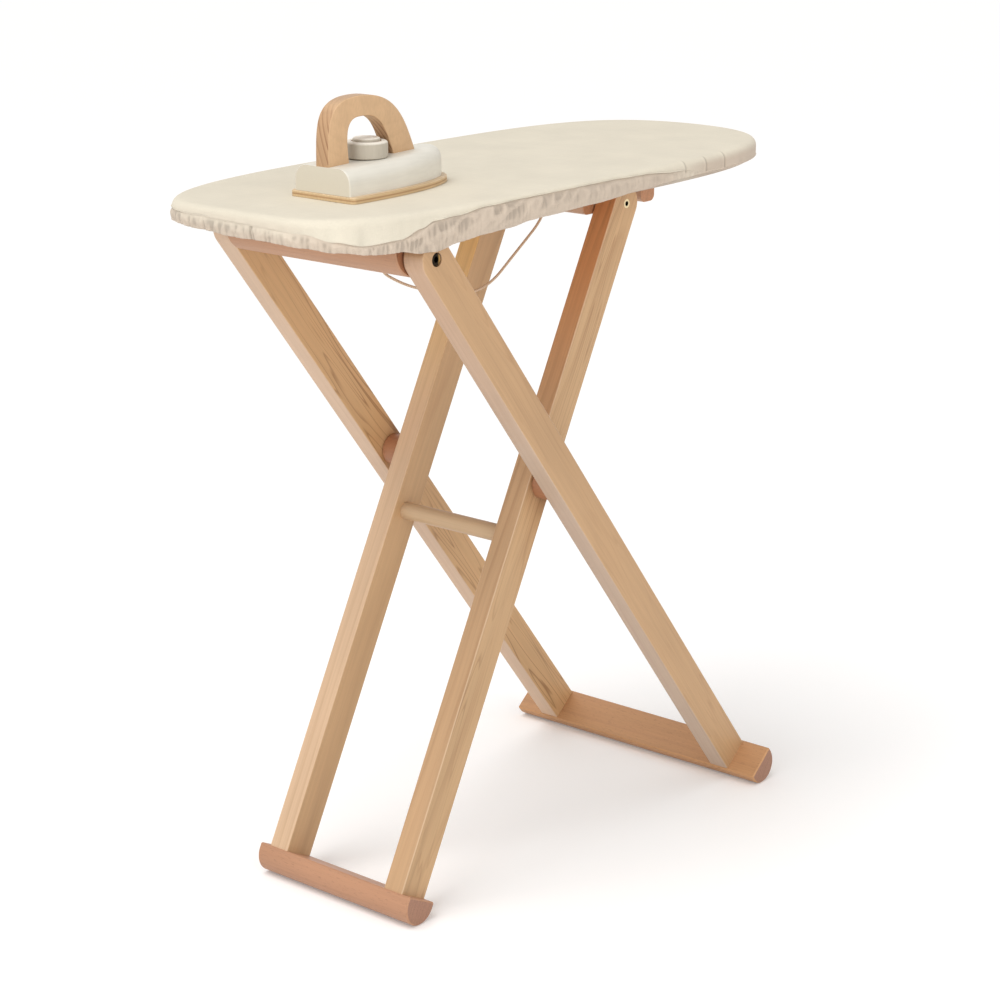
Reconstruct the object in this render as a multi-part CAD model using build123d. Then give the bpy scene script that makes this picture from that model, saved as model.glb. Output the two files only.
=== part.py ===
from build123d import *
import math
import os

# Toy ironing board with a toy iron, in millimetres, +Z up.
# The origin is on the floor under the middle of the board, and +X points to the board's nose.
# The near side is -Y, the far side is +Y.

# How the two frames stand
hinge_height = 502.0
hinge_span = 259.0
outer_leg_angle = 51.7
inner_leg_angle = 62.3

# Legs
leg_thickness = 18.0
leg_depth = 28.5
leg_arris = 1.2
outer_frame_gap = 164.6
inner_frame_width = 135.2

# Feet, a D-shaped moulding with its flat side up
foot_width = 31.0
foot_wall = 4.3
foot_arris = 1.0
outer_foot_length = 253.0
inner_foot_length = 153.0
dowel_radius = 3.0
dowel_spacing = 14.0
dowel_in_foot = 11.0
dowel_in_leg = 18.0

# Pivot pegs where the frames cross
peg_disc_radius = 12.0
peg_spigot_radius = 6.0
peg_spigot_length = 9.0
peg_disc_arris = 1.0

# Rung and top bar of the inner frame
rung_radius = 6.8
rung_socket_depth = 10.0
rung_height_share = 0.509
bar_radius = 7.0

# Socket bolts of the outer frame's hinge, their inserts and washers
bolt_radius = 3.0
bolt_head_radius = 4.3
bolt_head_height = 4.5
bolt_head_recess = 0.8
counterbore_radius = 5.0
bolt_socket_across = 4.0
bolt_socket_depth = 2.6
insert_radius = 5.0
insert_length = 15.0
washer_radius = 9.0
washer_thickness = 1.0

# Socket bolts of the inner frame's top bar
top_bolt_radius = 2.5
top_bolt_head_radius = 3.5
top_bolt_head_height = 2.2
top_bolt_reach = 24.0
top_bolt_socket_across = 3.0
top_bolt_socket_depth = 1.6

# Board panel, padding and cover
board_length = 536.0
board_width = 218.0
rear_overhang = 90.0
panel_thickness = 9.0
panel_arris = 2.0
leg_top_gap = 6.35
pad_thickness = 3.0
pad_inset = 1.0
pad_bevel = 2.6
cover_wall = 1.4
cover_gap = 0.4
rim_drop = 4.0
crown_inset = 4.0
skirt_flare = 1.0
hem_drop = 3.2
hem_side_flare = 2.0
hem_end_tuck = 8.0
hem_lip = 5.0
gather_count = 64
gather_depth = 2.0
rim_pucker = 0.2

# Half outline of the board, as shares of its half width: the straight rear edge's end, how far the
# corner pulls sideways and how far the nose pulls sideways
outline_rear_share = 0.37
outline_corner_share = 0.57
outline_nose_share = 1.08

# Half outline of the board, as shares of its length: where it is widest, and how far the side
# runs on from there towards the wide end and towards the nose
outline_widest_share = 0.38
outline_rearward_share = 0.16
outline_forward_share = 0.42

# Hinge rail, a deeper D-shaped moulding
rail_width = 41.0
rail_wall = 14.6

# Stops under the board, with slots for the top bar between them and a block above it in each slot
stop_width = 17.5
stop_depth = 28.0
stop_length = 97.0
stop_count = 3
slot_width = 19.5
slot_play = 0.5
slot_block_gap = 0.35
stop_edge_radius = 5.0

# Countersunk screws from the panel into the rail and stops
screw_radius = 2.0
screw_head_radius = 4.0
screw_head_height = 2.4
screw_length = 27.0
rail_screw_spacing = 50.0
stop_screw_spacing = 60.0

# Drawcord under the board, as places from the hinge bolts, and its eyelets
cord_radius = 1.0
cord_y = -25.0
cord_route = (
    (27.8, 20.6),
    (27.8, 1.0),
    (29.0, -11.0),
    (33.5, -21.5),
    (43.0, -29.5),
    (57.0, -36.0),
    (77.0, -42.0),
    (102.0, -47.0),
    (128.0, -49.5),
    (152.0, -45.0),
    (173.0, -35.5),
    (191.0, -23.5),
    (205.5, -10.5),
    (216.0, 3.0),
    (216.0, 20.6),
)
arc_run_share = 0.45
eyelet_radius = 3.5
eyelet_thickness = 0.8
eyelet_gap = 0.3

# Toy iron: where it stands on the board
iron_rear_x = -24.0
iron_y = -18.0
iron_rest_gap = 0.2

# Toy iron: sole and body
sole_length = 124.0
sole_width = 66.0
sole_thickness = 4.5
sole_arris = 0.8
sole_corner_radius = 3.0
body_inset = 4.5
body_rear_inset = 0.5
body_height = 17.0
body_shoulder_radius = 8.0
shoulder_steps = 6
sole_rear_share = 0.90
sole_side_along_share = 0.58
sole_side_across_share = 1.04
sole_tip_share = 0.60

# Toy iron: arched handle
handle_thickness = 14.4
handle_rear_inset = 0.2
handle_length = 89.8
handle_height = 44.4
handle_top_length = 65.3
handle_leg = 19.5
handle_top_bar = 12.2
handle_rear_radius = 24.0
handle_front_radius = 30.0
handle_inner_rear_radius = 8.5
handle_inner_front_radius = 14.0
handle_arris = 1.8
handle_dowel_depth = 10.0

# Toy iron: dial knob and the pin it turns on
dial_radius = 15.5
dial_height = 12.5
dial_bevel = 1.6
dial_boss_radius = 9.6
dial_boss_height = 1.4
dial_groove_width = 1.1
dial_groove_depth = 0.8
dial_rest_gap = 0.15
dial_pin_radius = 4.0
dial_pin_depth = 10.0
dial_pin_reach = 8.0

# Fits
glue_gap = 0.04
running_gap = 0.08
end_gap = 0.1
overrun = 2.0

# Places worked out from the sizes above
foot_radius = foot_width / 2
hinge_x = rear_overhang - board_length / 2
bar_x = hinge_x + hinge_span
outer_inner_face = outer_frame_gap / 2
outer_outer_face = outer_inner_face + leg_thickness
inner_outer_face = inner_frame_width / 2
inner_inner_face = inner_outer_face - leg_thickness
underside_z = hinge_height + leg_depth / 2 + leg_top_gap
panel_top_z = underside_z + panel_thickness
pad_top_z = panel_top_z + pad_thickness
cover_top_z = pad_top_z + cover_gap + cover_wall
rail_end = outer_inner_face - washer_thickness - end_gap


def leg_run(angle):
    """Length of a leg from the foot's flat side to the bolt, with the foot resting on the floor."""
    slope = math.sin(math.radians(angle))
    foot_flat_height = foot_wall * slope + foot_radius
    return (hinge_height - foot_flat_height) / slope


outer_leg_length = leg_run(outer_leg_angle)
inner_leg_length = leg_run(inner_leg_angle)
crossing_angle = math.radians(180 - outer_leg_angle - inner_leg_angle)
span_per_sine = hinge_span / math.sin(crossing_angle)
outer_pivot = outer_leg_length - span_per_sine * math.sin(math.radians(inner_leg_angle))
inner_pivot = inner_leg_length - span_per_sine * math.sin(math.radians(outer_leg_angle))


def frame_plane(top_x, length, lean_x, angle):
    """Plane of a frame: its origin is on the foot's flat side, its Y runs up the legs, its Z is near."""
    up_x = lean_x * math.cos(math.radians(angle))
    up_z = math.sin(math.radians(angle))
    origin = (top_x - up_x * length, 0, hinge_height - up_z * length)
    return Plane(origin=origin, x_dir=(up_z, 0, -up_x), z_dir=(0, -1, 0))


outer_plane = frame_plane(hinge_x, outer_leg_length, -1, outer_leg_angle)
inner_plane = frame_plane(bar_x, inner_leg_length, 1, inner_leg_angle)


def rod(radius, start, end, x=0, y=0):
    """Cylinder along local Z from start to end."""
    low = min(start, end)
    length = abs(end - start)
    return Pos(x, y, low) * Cylinder(radius, length, align=(Align.CENTER, Align.CENTER, Align.MIN))


def hexagon(across_flats, start, end, x=0, y=0):
    """Hexagonal prism along local Z, for a bolt's socket."""
    low = min(start, end)
    sides = 6
    flat_to_flat = RegularPolygon(across_flats / 2, sides, major_radius=False)
    return extrude(Pos(x, y, low) * flat_to_flat, abs(end - start))


def d_profile(width, wall):
    """D-shaped section: flat side on local Y = 0, round side towards -Y."""
    radius = width / 2
    left = Line((-radius, 0), (-radius, -wall))
    bottom = ThreePointArc((-radius, -wall), (0, -wall - radius), (radius, -wall))
    right = Line((radius, -wall), (radius, 0))
    top = Line((radius, 0), (-radius, 0))
    return make_face([left, bottom, right, top])


def leg_blank(side, inner_face, length):
    """Straight leg with a round top end, its long edges eased."""
    outline = Pos(0, length / 2) * Rectangle(leg_depth, length) + Pos(0, length) * Circle(leg_depth / 2)
    low = min(side * inner_face, side * (inner_face + leg_thickness))
    blank = extrude(Pos(0, 0, low) * outline, leg_thickness)
    flat_faces = blank.faces().sort_by(Axis.Z)
    foot_end = blank.faces().sort_by(Axis.Y)[0]
    rims = flat_faces[0].edges() + flat_faces[-1].edges() - foot_end.edges()
    return fillet(rims, leg_arris)


def dowel_places():
    """The two places of a leg's dowels across its depth."""
    return (-dowel_spacing / 2, dowel_spacing / 2)


def along_leg(radius, x, z, start, end):
    """Cylinder along local Y, for dowels between a leg and its foot."""
    up_the_leg = Plane(origin=(x, 0, z), x_dir=(1, 0, 0), z_dir=(0, 1, 0))
    return up_the_leg * rod(radius, start, end)


def foot_dowels(middle):
    """The dowels of both legs of a frame, with a glue gap."""
    pins = []
    for side in (1, -1):
        for x in dowel_places():
            pins.append(along_leg(dowel_radius, x, side * middle, -dowel_in_foot, dowel_in_leg))
    return pins


def dowel_holes(middle):
    """Cutters for the foot dowels in one leg end and the foot."""
    start = -dowel_in_foot - end_gap
    end = dowel_in_leg + end_gap
    return [along_leg(dowel_radius + glue_gap, x, middle, start, end) for x in dowel_places()]


def outer_leg(side):
    """Outer leg with the hinge bolt's counterbored hole and the peg's socket."""
    leg = leg_blank(side, outer_inner_face, outer_leg_length)
    top = outer_leg_length
    inside = side * (outer_inner_face - overrun)
    outside = side * (outer_outer_face + overrun)
    head_seat = side * (outer_outer_face - bolt_head_height - bolt_head_recess)
    socket_end = side * (outer_inner_face + peg_spigot_length + end_gap)
    leg -= rod(bolt_radius + running_gap, inside, head_seat, 0, top)
    leg -= rod(counterbore_radius, head_seat, outside, 0, top)
    leg -= rod(peg_spigot_radius + glue_gap, inside, socket_end, 0, outer_pivot)
    for hole in dowel_holes(side * (outer_inner_face + leg_thickness / 2)):
        leg -= hole
    return outer_plane * leg


def inner_leg(side):
    """Inner leg with the peg's running socket, the rung's socket and the top bolt's hole."""
    leg = leg_blank(side, inner_inner_face, inner_leg_length)
    top = inner_leg_length
    inside = side * (inner_inner_face - overrun)
    outside = side * (inner_outer_face + overrun)
    head_seat = side * (inner_outer_face - top_bolt_head_height)
    socket_end = side * (inner_outer_face - peg_spigot_length - end_gap)
    rung_end = side * (inner_inner_face + rung_socket_depth)
    leg -= rod(top_bolt_radius + glue_gap, inside, head_seat, 0, top)
    leg -= rod(top_bolt_head_radius + glue_gap, head_seat, outside, 0, top)
    leg -= rod(peg_spigot_radius + running_gap, outside, socket_end, 0, inner_pivot)
    leg -= rod(rung_radius + glue_gap, inside, rung_end, 0, rung_place())
    for hole in dowel_holes(side * (inner_inner_face + leg_thickness / 2)):
        leg -= hole
    return inner_plane * leg


def rung_place():
    """How far up the inner legs the rung sits."""
    return inner_leg_length * rung_height_share


def foot(plane, length, leg_middle):
    """D-shaped foot with eased edges and the dowel holes of both legs."""
    bar = extrude(Pos(0, 0, -length / 2) * d_profile(foot_width, foot_wall), length)
    bar = chamfer(bar.edges(), foot_arris)
    for side in (1, -1):
        for hole in dowel_holes(side * leg_middle):
            bar -= hole
    return plane * bar


def pivot_peg(side):
    """Stepped peg: a disc between the legs and a spigot into each."""
    disc_start = outer_inner_face
    disc_end = inner_outer_face + end_gap
    disc = rod(peg_disc_radius, side * disc_start, side * disc_end)
    disc = chamfer(disc.edges().filter_by(GeomType.CIRCLE), peg_disc_arris)
    outer_end = side * (outer_inner_face + peg_spigot_length)
    inner_end = side * (inner_outer_face - peg_spigot_length)
    spigots = rod(peg_spigot_radius, outer_end, inner_end)
    return outer_plane * Pos(0, outer_pivot, 0) * (disc + spigots)


def rung():
    """Round rung between the inner legs."""
    end = inner_inner_face + rung_socket_depth - end_gap
    return inner_plane * rod(rung_radius, -end, end, 0, rung_place())


def top_bar():
    """Round bar between the tops of the inner legs, bored for its bolts."""
    bar = rod(bar_radius, -inner_inner_face, inner_inner_face)
    for side in (1, -1):
        depth = inner_inner_face - top_bolt_reach - end_gap
        bar -= rod(top_bolt_radius + glue_gap, side * depth, side * (inner_inner_face + overrun))
    return inner_plane * Pos(0, inner_leg_length, 0) * bar


def socket_bolt(side, seat, face, reach, shank_radius, head_radius, socket_across, socket_depth):
    """Bolt with a round head from seat to face, a hexagon socket and a shank that ends at reach."""
    head = rod(head_radius, side * seat, side * face)
    head -= hexagon(socket_across, side * (face - socket_depth), side * (face + overrun))
    return head + rod(shank_radius, side * reach, side * seat)


def top_bolt(side):
    """Bolt through an inner leg's top into the bar."""
    seat = inner_outer_face - top_bolt_head_height
    bolt = socket_bolt(
        side,
        seat,
        inner_outer_face,
        inner_inner_face - top_bolt_reach,
        top_bolt_radius,
        top_bolt_head_radius,
        top_bolt_socket_across,
        top_bolt_socket_depth,
    )
    return inner_plane * Pos(0, inner_leg_length, 0) * bolt


def hinge_plane():
    """Plane on the hinge bolts' axis, its Z towards the near side."""
    return Plane(origin=(hinge_x, 0, hinge_height), x_dir=(1, 0, 0), z_dir=(0, -1, 0))


def hinge_bolt(side):
    """Bolt through an outer leg's top into the rail's insert."""
    seat = outer_outer_face - bolt_head_height - bolt_head_recess + end_gap
    bolt = socket_bolt(
        side,
        seat,
        seat + bolt_head_height,
        rail_end - insert_length + end_gap,
        bolt_radius,
        bolt_head_radius,
        bolt_socket_across,
        bolt_socket_depth,
    )
    return hinge_plane() * bolt


def rail_insert(side):
    """Threaded insert in the rail's end, shown with a plain bore."""
    blind_end = rail_end - insert_length
    sleeve = rod(insert_radius, side * blind_end, side * rail_end)
    sleeve -= rod(bolt_radius + glue_gap, side * (blind_end - overrun), side * (rail_end + overrun))
    return hinge_plane() * sleeve


def hinge_washers():
    """The two washers between the outer legs and the rail."""
    rings = []
    outside = rail_end + washer_thickness
    for side in (1, -1):
        ring = rod(washer_radius, side * rail_end, side * outside)
        ring -= rod(bolt_radius + running_gap, side * (rail_end - overrun), side * (outside + overrun))
        rings.append(hinge_plane() * ring)
    return rings


def board_outline(grow_x=0, grow_y=0):
    """Closed outline of the board on XY, with its ends and sides moved out by the two values."""
    length = board_length + 2 * grow_x
    half_width = board_width / 2 + grow_y
    rear = -length / 2
    corner = (rear, outline_rear_share * half_width)
    corner_pull = (rear, (outline_rear_share + outline_corner_share) * half_width)
    widest_x = rear + outline_widest_share * length
    widest = (widest_x, half_width)
    rear_pull = (widest_x - outline_rearward_share * length, half_width)
    front_pull = (widest_x + outline_forward_share * length, half_width)
    nose_pull = (rear + length, outline_nose_share * half_width)
    nose = (rear + length, 0)
    rear_side = Bezier(corner, corner_pull, rear_pull, widest)
    nose_side = Bezier(widest, front_pull, nose_pull, nose)
    rear_edge = Line((rear, -corner[1]), corner)
    return Wire([rear_edge, rear_side, nose_side, nose_side.mirror(Plane.XZ), rear_side.mirror(Plane.XZ)])


def board_slab(bottom, top, grow_x=0, grow_y=0):
    """Slab with the board's outline between two heights."""
    return extrude(Pos(0, 0, bottom) * make_face(board_outline(grow_x, grow_y)), top - bottom)


def stop_places():
    """X of the middle of each stop, rear to nose: the bar leans on the nose side of the first slot."""
    slot_nose_side = bar_x + bar_radius + slot_play
    first = slot_nose_side - slot_width - stop_width / 2
    return [first + index * (stop_width + slot_width) for index in range(stop_count)]


def screw_places():
    """X and Y of every screw: three into the rail and two into each stop."""
    places = [(hinge_x, y) for y in (-rail_screw_spacing, 0, rail_screw_spacing)]
    for x in stop_places():
        places += [(x, -stop_screw_spacing / 2), (x, stop_screw_spacing / 2)]
    return places


def screw(x, y, grow=0):
    """Countersunk screw, head flush with the panel's top; a grown one is its cutter."""
    head_bottom = panel_top_z - screw_head_height
    shank = rod(screw_radius + grow, panel_top_z - screw_length - grow, head_bottom, x, y)
    seat = (Align.CENTER, Align.CENTER, Align.MIN)
    head = Cone(screw_radius + grow, screw_head_radius + grow, screw_head_height, align=seat)
    return shank + Pos(x, y, head_bottom) * head


def layered_slab(layers):
    """Slab lofted straight through the board's outline at each height and reach, bottom to top."""
    return loft([Pos(0, 0, height) * make_face(board_outline(reach, reach)) for height, reach in layers], ruled=True)


def board_panel():
    """Wooden panel with eased edges and countersunk screw holes."""
    panel = layered_slab(
        (
            (underside_z, -panel_arris),
            (underside_z + panel_arris, 0),
            (panel_top_z - panel_arris, 0),
            (panel_top_z, -panel_arris),
        )
    )
    for x, y in screw_places():
        panel -= screw(x, y, glue_gap)
    return panel


def padding(bottom, top, grow):
    """Slab with a bevelled top rim, for the pad and for the room inside the cover."""
    return layered_slab(((bottom, grow), (top - pad_bevel, grow), (top, grow - pad_bevel)))


def foam_pad():
    """Flat padding on the panel."""
    return padding(panel_top_z, pad_top_z, -pad_inset)


def gathered_section(height, grow_x, grow_y, bulge):
    """Face of the board's outline as one arc per gather, each bulging out between two points."""
    outline = board_outline(grow_x, grow_y)
    half_gather_share = 1 / (2 * gather_count)
    folds = [outline.position_at(2 * index * half_gather_share) for index in range(gather_count)]
    arcs = []
    for index, start in enumerate(folds):
        end = folds[(index + 1) % gather_count]
        middle_share = (2 * index + 1) * half_gather_share
        middle = outline.position_at(middle_share)
        along = outline.tangent_at(middle_share)
        outward = Vector(along.Y, -along.X, 0)
        if outward.dot(middle) < 0:
            outward = -outward
        arcs.append(ThreePointArc(start, middle + outward * bulge, end))
    return Pos(0, 0, height) * make_face(arcs)


def cover():
    """Fitted cover: a flat top, a skirt that gathers towards its hem, and ends tucked under the panel."""
    outer = cover_gap + cover_wall
    skirt = outer + skirt_flare
    hem_end = outer - hem_end_tuck
    hem_side = outer + hem_side_flare
    crown = outer - crown_inset
    hem_z = underside_z - hem_drop
    sections = [
        gathered_section(hem_z, hem_end, hem_side, gather_depth / 2),
        gathered_section(underside_z, skirt, skirt, gather_depth),
        gathered_section(cover_top_z - rim_drop, outer, outer, rim_pucker),
        gathered_section(cover_top_z, crown, crown, rim_pucker),
    ]
    shell = loft(sections, ruled=True)
    shell -= padding(underside_z - cover_gap, pad_top_z + cover_gap, cover_gap)
    shell -= board_slab(hem_z - overrun, underside_z, hem_end - hem_lip, hem_side - cover_wall)
    return shell


def hinge_rail():
    """D-shaped rail under the wide end, bored for its inserts and screws."""
    plane = Plane(origin=(hinge_x, 0, underside_z), x_dir=(1, 0, 0), z_dir=(0, -1, 0))
    rail = extrude(Pos(0, 0, -rail_end) * d_profile(rail_width, rail_wall), 2 * rail_end)
    rail = chamfer(rail.edges(), foot_arris)
    drop = hinge_height - underside_z
    for side in (1, -1):
        start = side * (rail_end - insert_length - end_gap)
        rail -= rod(insert_radius + glue_gap, start, side * (rail_end + overrun), 0, drop)
    rail = plane * rail
    for x, y in screw_places():
        if x == hinge_x:
            rail -= screw(x, y, glue_gap)
    return rail


def stop(index):
    """Cross batten with rounded lower edges, drilled for its screws."""
    x = stop_places()[index]
    batten = Pos(x, 0, underside_z - stop_depth / 2) * Box(stop_width, stop_length, stop_depth)
    lower = batten.faces().sort_by(Axis.Z)[0].edges().filter_by(Axis.Y)
    batten = fillet(lower, stop_edge_radius)
    for place_x, y in screw_places():
        if place_x == x:
            batten -= screw(x, y, glue_gap)
    return batten


def slot_blocks():
    """One block in each slot under the panel: the board's nose end rests on the bar through the first."""
    bottom = hinge_height + bar_radius + slot_block_gap
    height = underside_z - bottom
    blocks = []
    for stop_x in stop_places()[:-1]:
        x = stop_x + (stop_width + slot_width) / 2
        blocks.append(Pos(x, 0, bottom + height / 2) * Box(slot_width, stop_length, height))
    return blocks


def cord_points():
    """The cord's route in the part's own frame."""
    return [Vector(hinge_x + x, cord_y, hinge_height + z) for x, z in cord_route]


def corner_radii(points):
    """As large an arc as the two runs at each inner point allow."""
    radii = []
    for before, corner, after in zip(points, points[1:], points[2:]):
        first = corner - before
        second = after - corner
        half_turn = math.radians(first.get_angle(second)) / 2
        radii.append(arc_run_share * min(first.length, second.length) / math.tan(half_turn))
    return radii


def drawcord():
    """Thin cord that hangs between its two eyelets."""
    points = cord_points()
    radii = corner_radii(points)
    path = FilletPolyline(*points, radius=radii)
    section = Plane(origin=points[0], z_dir=points[1] - points[0]) * Circle(cord_radius)
    tube = sweep(section, path=path)
    print("cord arc radii", [round(radius, 1) for radius in radii])
    print("cord length", round(path.length, 1))
    print("cord volume over section times length", round(tube.volume / (section.area * path.length), 4))
    return tube


def cord_eyelets():
    """Two eyelets on the panel's underside, round the cord's ends."""
    rings = []
    low = underside_z - eyelet_thickness
    bore = cord_radius + eyelet_gap
    for end in (cord_points()[0], cord_points()[-1]):
        ring = rod(eyelet_radius, low, underside_z, end.X, end.Y)
        rings.append(ring - rod(bore, low - overrun, underside_z + overrun, end.X, end.Y))
    return rings


def iron_outline(rear_x, length, width):
    """Flat-iron outline on XY: straight rear edge, sides that swell and run to a rounded tip."""
    half_width = width / 2
    corner = (rear_x, sole_rear_share * half_width)
    side_pull = (rear_x + sole_side_along_share * length, sole_side_across_share * half_width)
    tip_pull = (rear_x + length, sole_tip_share * half_width)
    side = Bezier(corner, side_pull, tip_pull, (rear_x + length, 0))
    rear_edge = Line((rear_x, -corner[1]), corner)
    return Pos(0, iron_y, 0) * make_face(Wire([rear_edge, side, side.mirror(Plane.XZ)]))


sole_rear_x = hinge_x + iron_rear_x
body_rear_x = sole_rear_x + body_rear_inset
sole_bottom_z = cover_top_z + iron_rest_gap
sole_top_z = sole_bottom_z + sole_thickness
body_top_z = sole_top_z + body_height
handle_rear_x = body_rear_x + handle_rear_inset
handle_front_base = handle_length - handle_leg
dial_x = handle_rear_x + (handle_leg + handle_front_base) / 2


def iron_soleplate():
    """Plywood sole with eased edges."""
    outline = iron_outline(sole_rear_x, sole_length, sole_width)
    sole = extrude(Pos(0, 0, sole_bottom_z) * outline, sole_thickness)
    sole = fillet(sole.edges().filter_by(Axis.Z).sort_by(Axis.X)[:2], sole_corner_radius)
    return chamfer(sole.faces().sort_by(Axis.Z)[-1].edges(), sole_arris)


def iron_body():
    """Body with a flat rear face and broad rounded shoulders, drilled for the handle and the dial's pin."""
    length = sole_length - body_rear_inset - body_inset
    width = sole_width - 2 * body_inset
    shoulder_z = body_top_z - body_shoulder_radius
    sections = [Pos(0, 0, sole_top_z) * iron_outline(body_rear_x, length, width)]
    for step in range(shoulder_steps + 1):
        turn = math.radians(90) * step / shoulder_steps
        inset = body_shoulder_radius * (1 - math.cos(turn))
        height = shoulder_z + body_shoulder_radius * math.sin(turn)
        sections.append(Pos(0, 0, height) * iron_outline(body_rear_x, length - inset, width - 2 * inset))
    body = loft(sections, ruled=True)
    above = body_top_z + overrun
    dowel_end = body_top_z - handle_dowel_depth - end_gap
    for x in handle_dowel_places():
        body -= rod(dowel_radius + glue_gap, dowel_end, above, x, iron_y)
    pin_end = body_top_z - dial_pin_depth - end_gap
    return body - rod(dial_pin_radius + glue_gap, pin_end, above, dial_x, iron_y)


def handle_dowel_places():
    """X of the dowel in each leg of the handle."""
    rear = handle_rear_x + handle_leg / 2
    front = handle_rear_x + handle_front_base + handle_leg / 2 - handle_dowel_lean()
    return (rear, front)


def handle_dowel_lean():
    """How far the slanted front leg moves back over half a dowel's depth."""
    return (handle_length - handle_top_length) / handle_height * handle_dowel_depth / 2


def arch_face(rear, top_length, length, height, rear_radius, front_radius):
    """Arch outline: upright rear side, slanted front side, and two rounded upper corners."""
    outline = make_face(Polyline((rear, 0), (rear, height), (top_length, height), (length, 0), close=True))
    rear_top, front_top = outline.vertices().group_by(Axis.Y)[-1].sort_by(Axis.X)
    outline = fillet(rear_top, rear_radius)
    front_top = outline.vertices().sort_by_distance(front_top)[0]
    return fillet(front_top, front_radius)


def iron_handle():
    """Arched handle whose front leg slants forward."""
    lean = (handle_length - handle_top_length) / handle_height
    inner_height = handle_height - handle_top_bar
    inner_top_length = handle_front_base - lean * inner_height
    outer = arch_face(
        0, handle_top_length, handle_length, handle_height, handle_rear_radius, handle_front_radius
    )
    inner = arch_face(
        handle_leg,
        inner_top_length,
        handle_front_base,
        inner_height,
        handle_inner_rear_radius,
        handle_inner_front_radius,
    )
    arch = extrude(Pos(0, 0, -handle_thickness / 2) * (outer - inner), handle_thickness)
    flat_faces = arch.faces().sort_by(Axis.Z)
    feet = arch.faces().sort_by(Axis.Y)[:2]
    rims = flat_faces[0].edges() + flat_faces[-1].edges() - feet[0].edges() - feet[1].edges()
    arch = fillet(rims, handle_arris)
    arch = Plane(origin=(handle_rear_x, iron_y, body_top_z), x_dir=(1, 0, 0), z_dir=(0, -1, 0)) * arch
    dowel_end = body_top_z + handle_dowel_depth + end_gap
    for x in handle_dowel_places():
        arch -= rod(dowel_radius + glue_gap, body_top_z - overrun, dowel_end, x, iron_y)
    return arch


def iron_handle_dowels():
    """One upright dowel in each leg of the handle."""
    low = body_top_z - handle_dowel_depth
    high = body_top_z + handle_dowel_depth
    return [rod(dowel_radius, low, high, x, iron_y) for x in handle_dowel_places()]


def iron_dial():
    """Round knob with a bevelled rim, a ring groove and a raised middle."""
    bottom = body_top_z + dial_rest_gap
    top = bottom + dial_height
    knob = rod(dial_radius, bottom, top)
    knob = chamfer(knob.edges().sort_by(Axis.Z)[-1], dial_bevel)
    groove_floor = top - dial_groove_depth
    knob -= rod(dial_boss_radius + dial_groove_width, groove_floor, top + overrun)
    boss = rod(dial_boss_radius, groove_floor, top + dial_boss_height)
    knob += fillet(boss.edges().sort_by(Axis.Z)[-1], dial_boss_height / 2)
    pin_top = bottom + dial_pin_reach
    knob -= rod(dial_pin_radius + running_gap, bottom - overrun, pin_top)
    return Pos(dial_x, iron_y, 0) * knob


def iron_dial_pin():
    """Dowel that stands in the body and carries the dial."""
    low = body_top_z - dial_pin_depth
    high = body_top_z + dial_pin_reach
    return rod(dial_pin_radius, low, high, dial_x, iron_y)


def pieces():
    """Every node of the part by name: one solid, or a list of separate ones."""
    outer_middle = outer_inner_face + leg_thickness / 2
    inner_middle = inner_inner_face + leg_thickness / 2
    stops = [stop(index) for index in range(stop_count)]
    return {
        "outer_leg_near": outer_leg(1),
        "outer_leg_far": outer_leg(-1),
        "outer_foot": foot(outer_plane, outer_foot_length, outer_middle),
        "outer_foot_dowels": [outer_plane * pin for pin in foot_dowels(outer_middle)],
        "pivot_peg_near": pivot_peg(1),
        "pivot_peg_far": pivot_peg(-1),
        "inner_leg_near": inner_leg(1),
        "inner_leg_far": inner_leg(-1),
        "inner_foot": foot(inner_plane, inner_foot_length, inner_middle),
        "inner_foot_dowels": [inner_plane * pin for pin in foot_dowels(inner_middle)],
        "rung": rung(),
        "top_bar": top_bar(),
        "top_bolt_near": top_bolt(1),
        "top_bolt_far": top_bolt(-1),
        "board_panel": board_panel(),
        "foam_pad": foam_pad(),
        "cover": cover(),
        "hinge_rail": hinge_rail(),
        "rear_stop": stops[0],
        "middle_stop": stops[1],
        "nose_stop": stops[2],
        "slot_blocks": slot_blocks(),
        "board_screws": [screw(x, y) for x, y in screw_places()],
        "hinge_bolt_near": hinge_bolt(1),
        "hinge_bolt_far": hinge_bolt(-1),
        "rail_insert_near": rail_insert(1),
        "rail_insert_far": rail_insert(-1),
        "hinge_washers": hinge_washers(),
        "drawcord": drawcord(),
        "cord_eyelets": cord_eyelets(),
        "iron_soleplate": iron_soleplate(),
        "iron_body": iron_body(),
        "iron_handle": iron_handle(),
        "iron_handle_dowels": iron_handle_dowels(),
        "iron_dial": iron_dial(),
        "iron_dial_pin": iron_dial_pin(),
    }


os.makedirs("parts", exist_ok=True)
for name, shape in pieces().items():
    solid = Compound(children=shape) if isinstance(shape, list) else shape
    export_step(solid, os.path.join("parts", name + ".step"))
print("outer leg", round(outer_leg_length, 2), "inner leg", round(inner_leg_length, 2))
print("pivot from outer foot", round(outer_pivot, 2), "from inner foot", round(inner_pivot, 2))
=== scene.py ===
import math
from collections import namedtuple

import bmesh
import bpy
from mathutils import Euler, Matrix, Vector, noise


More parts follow.
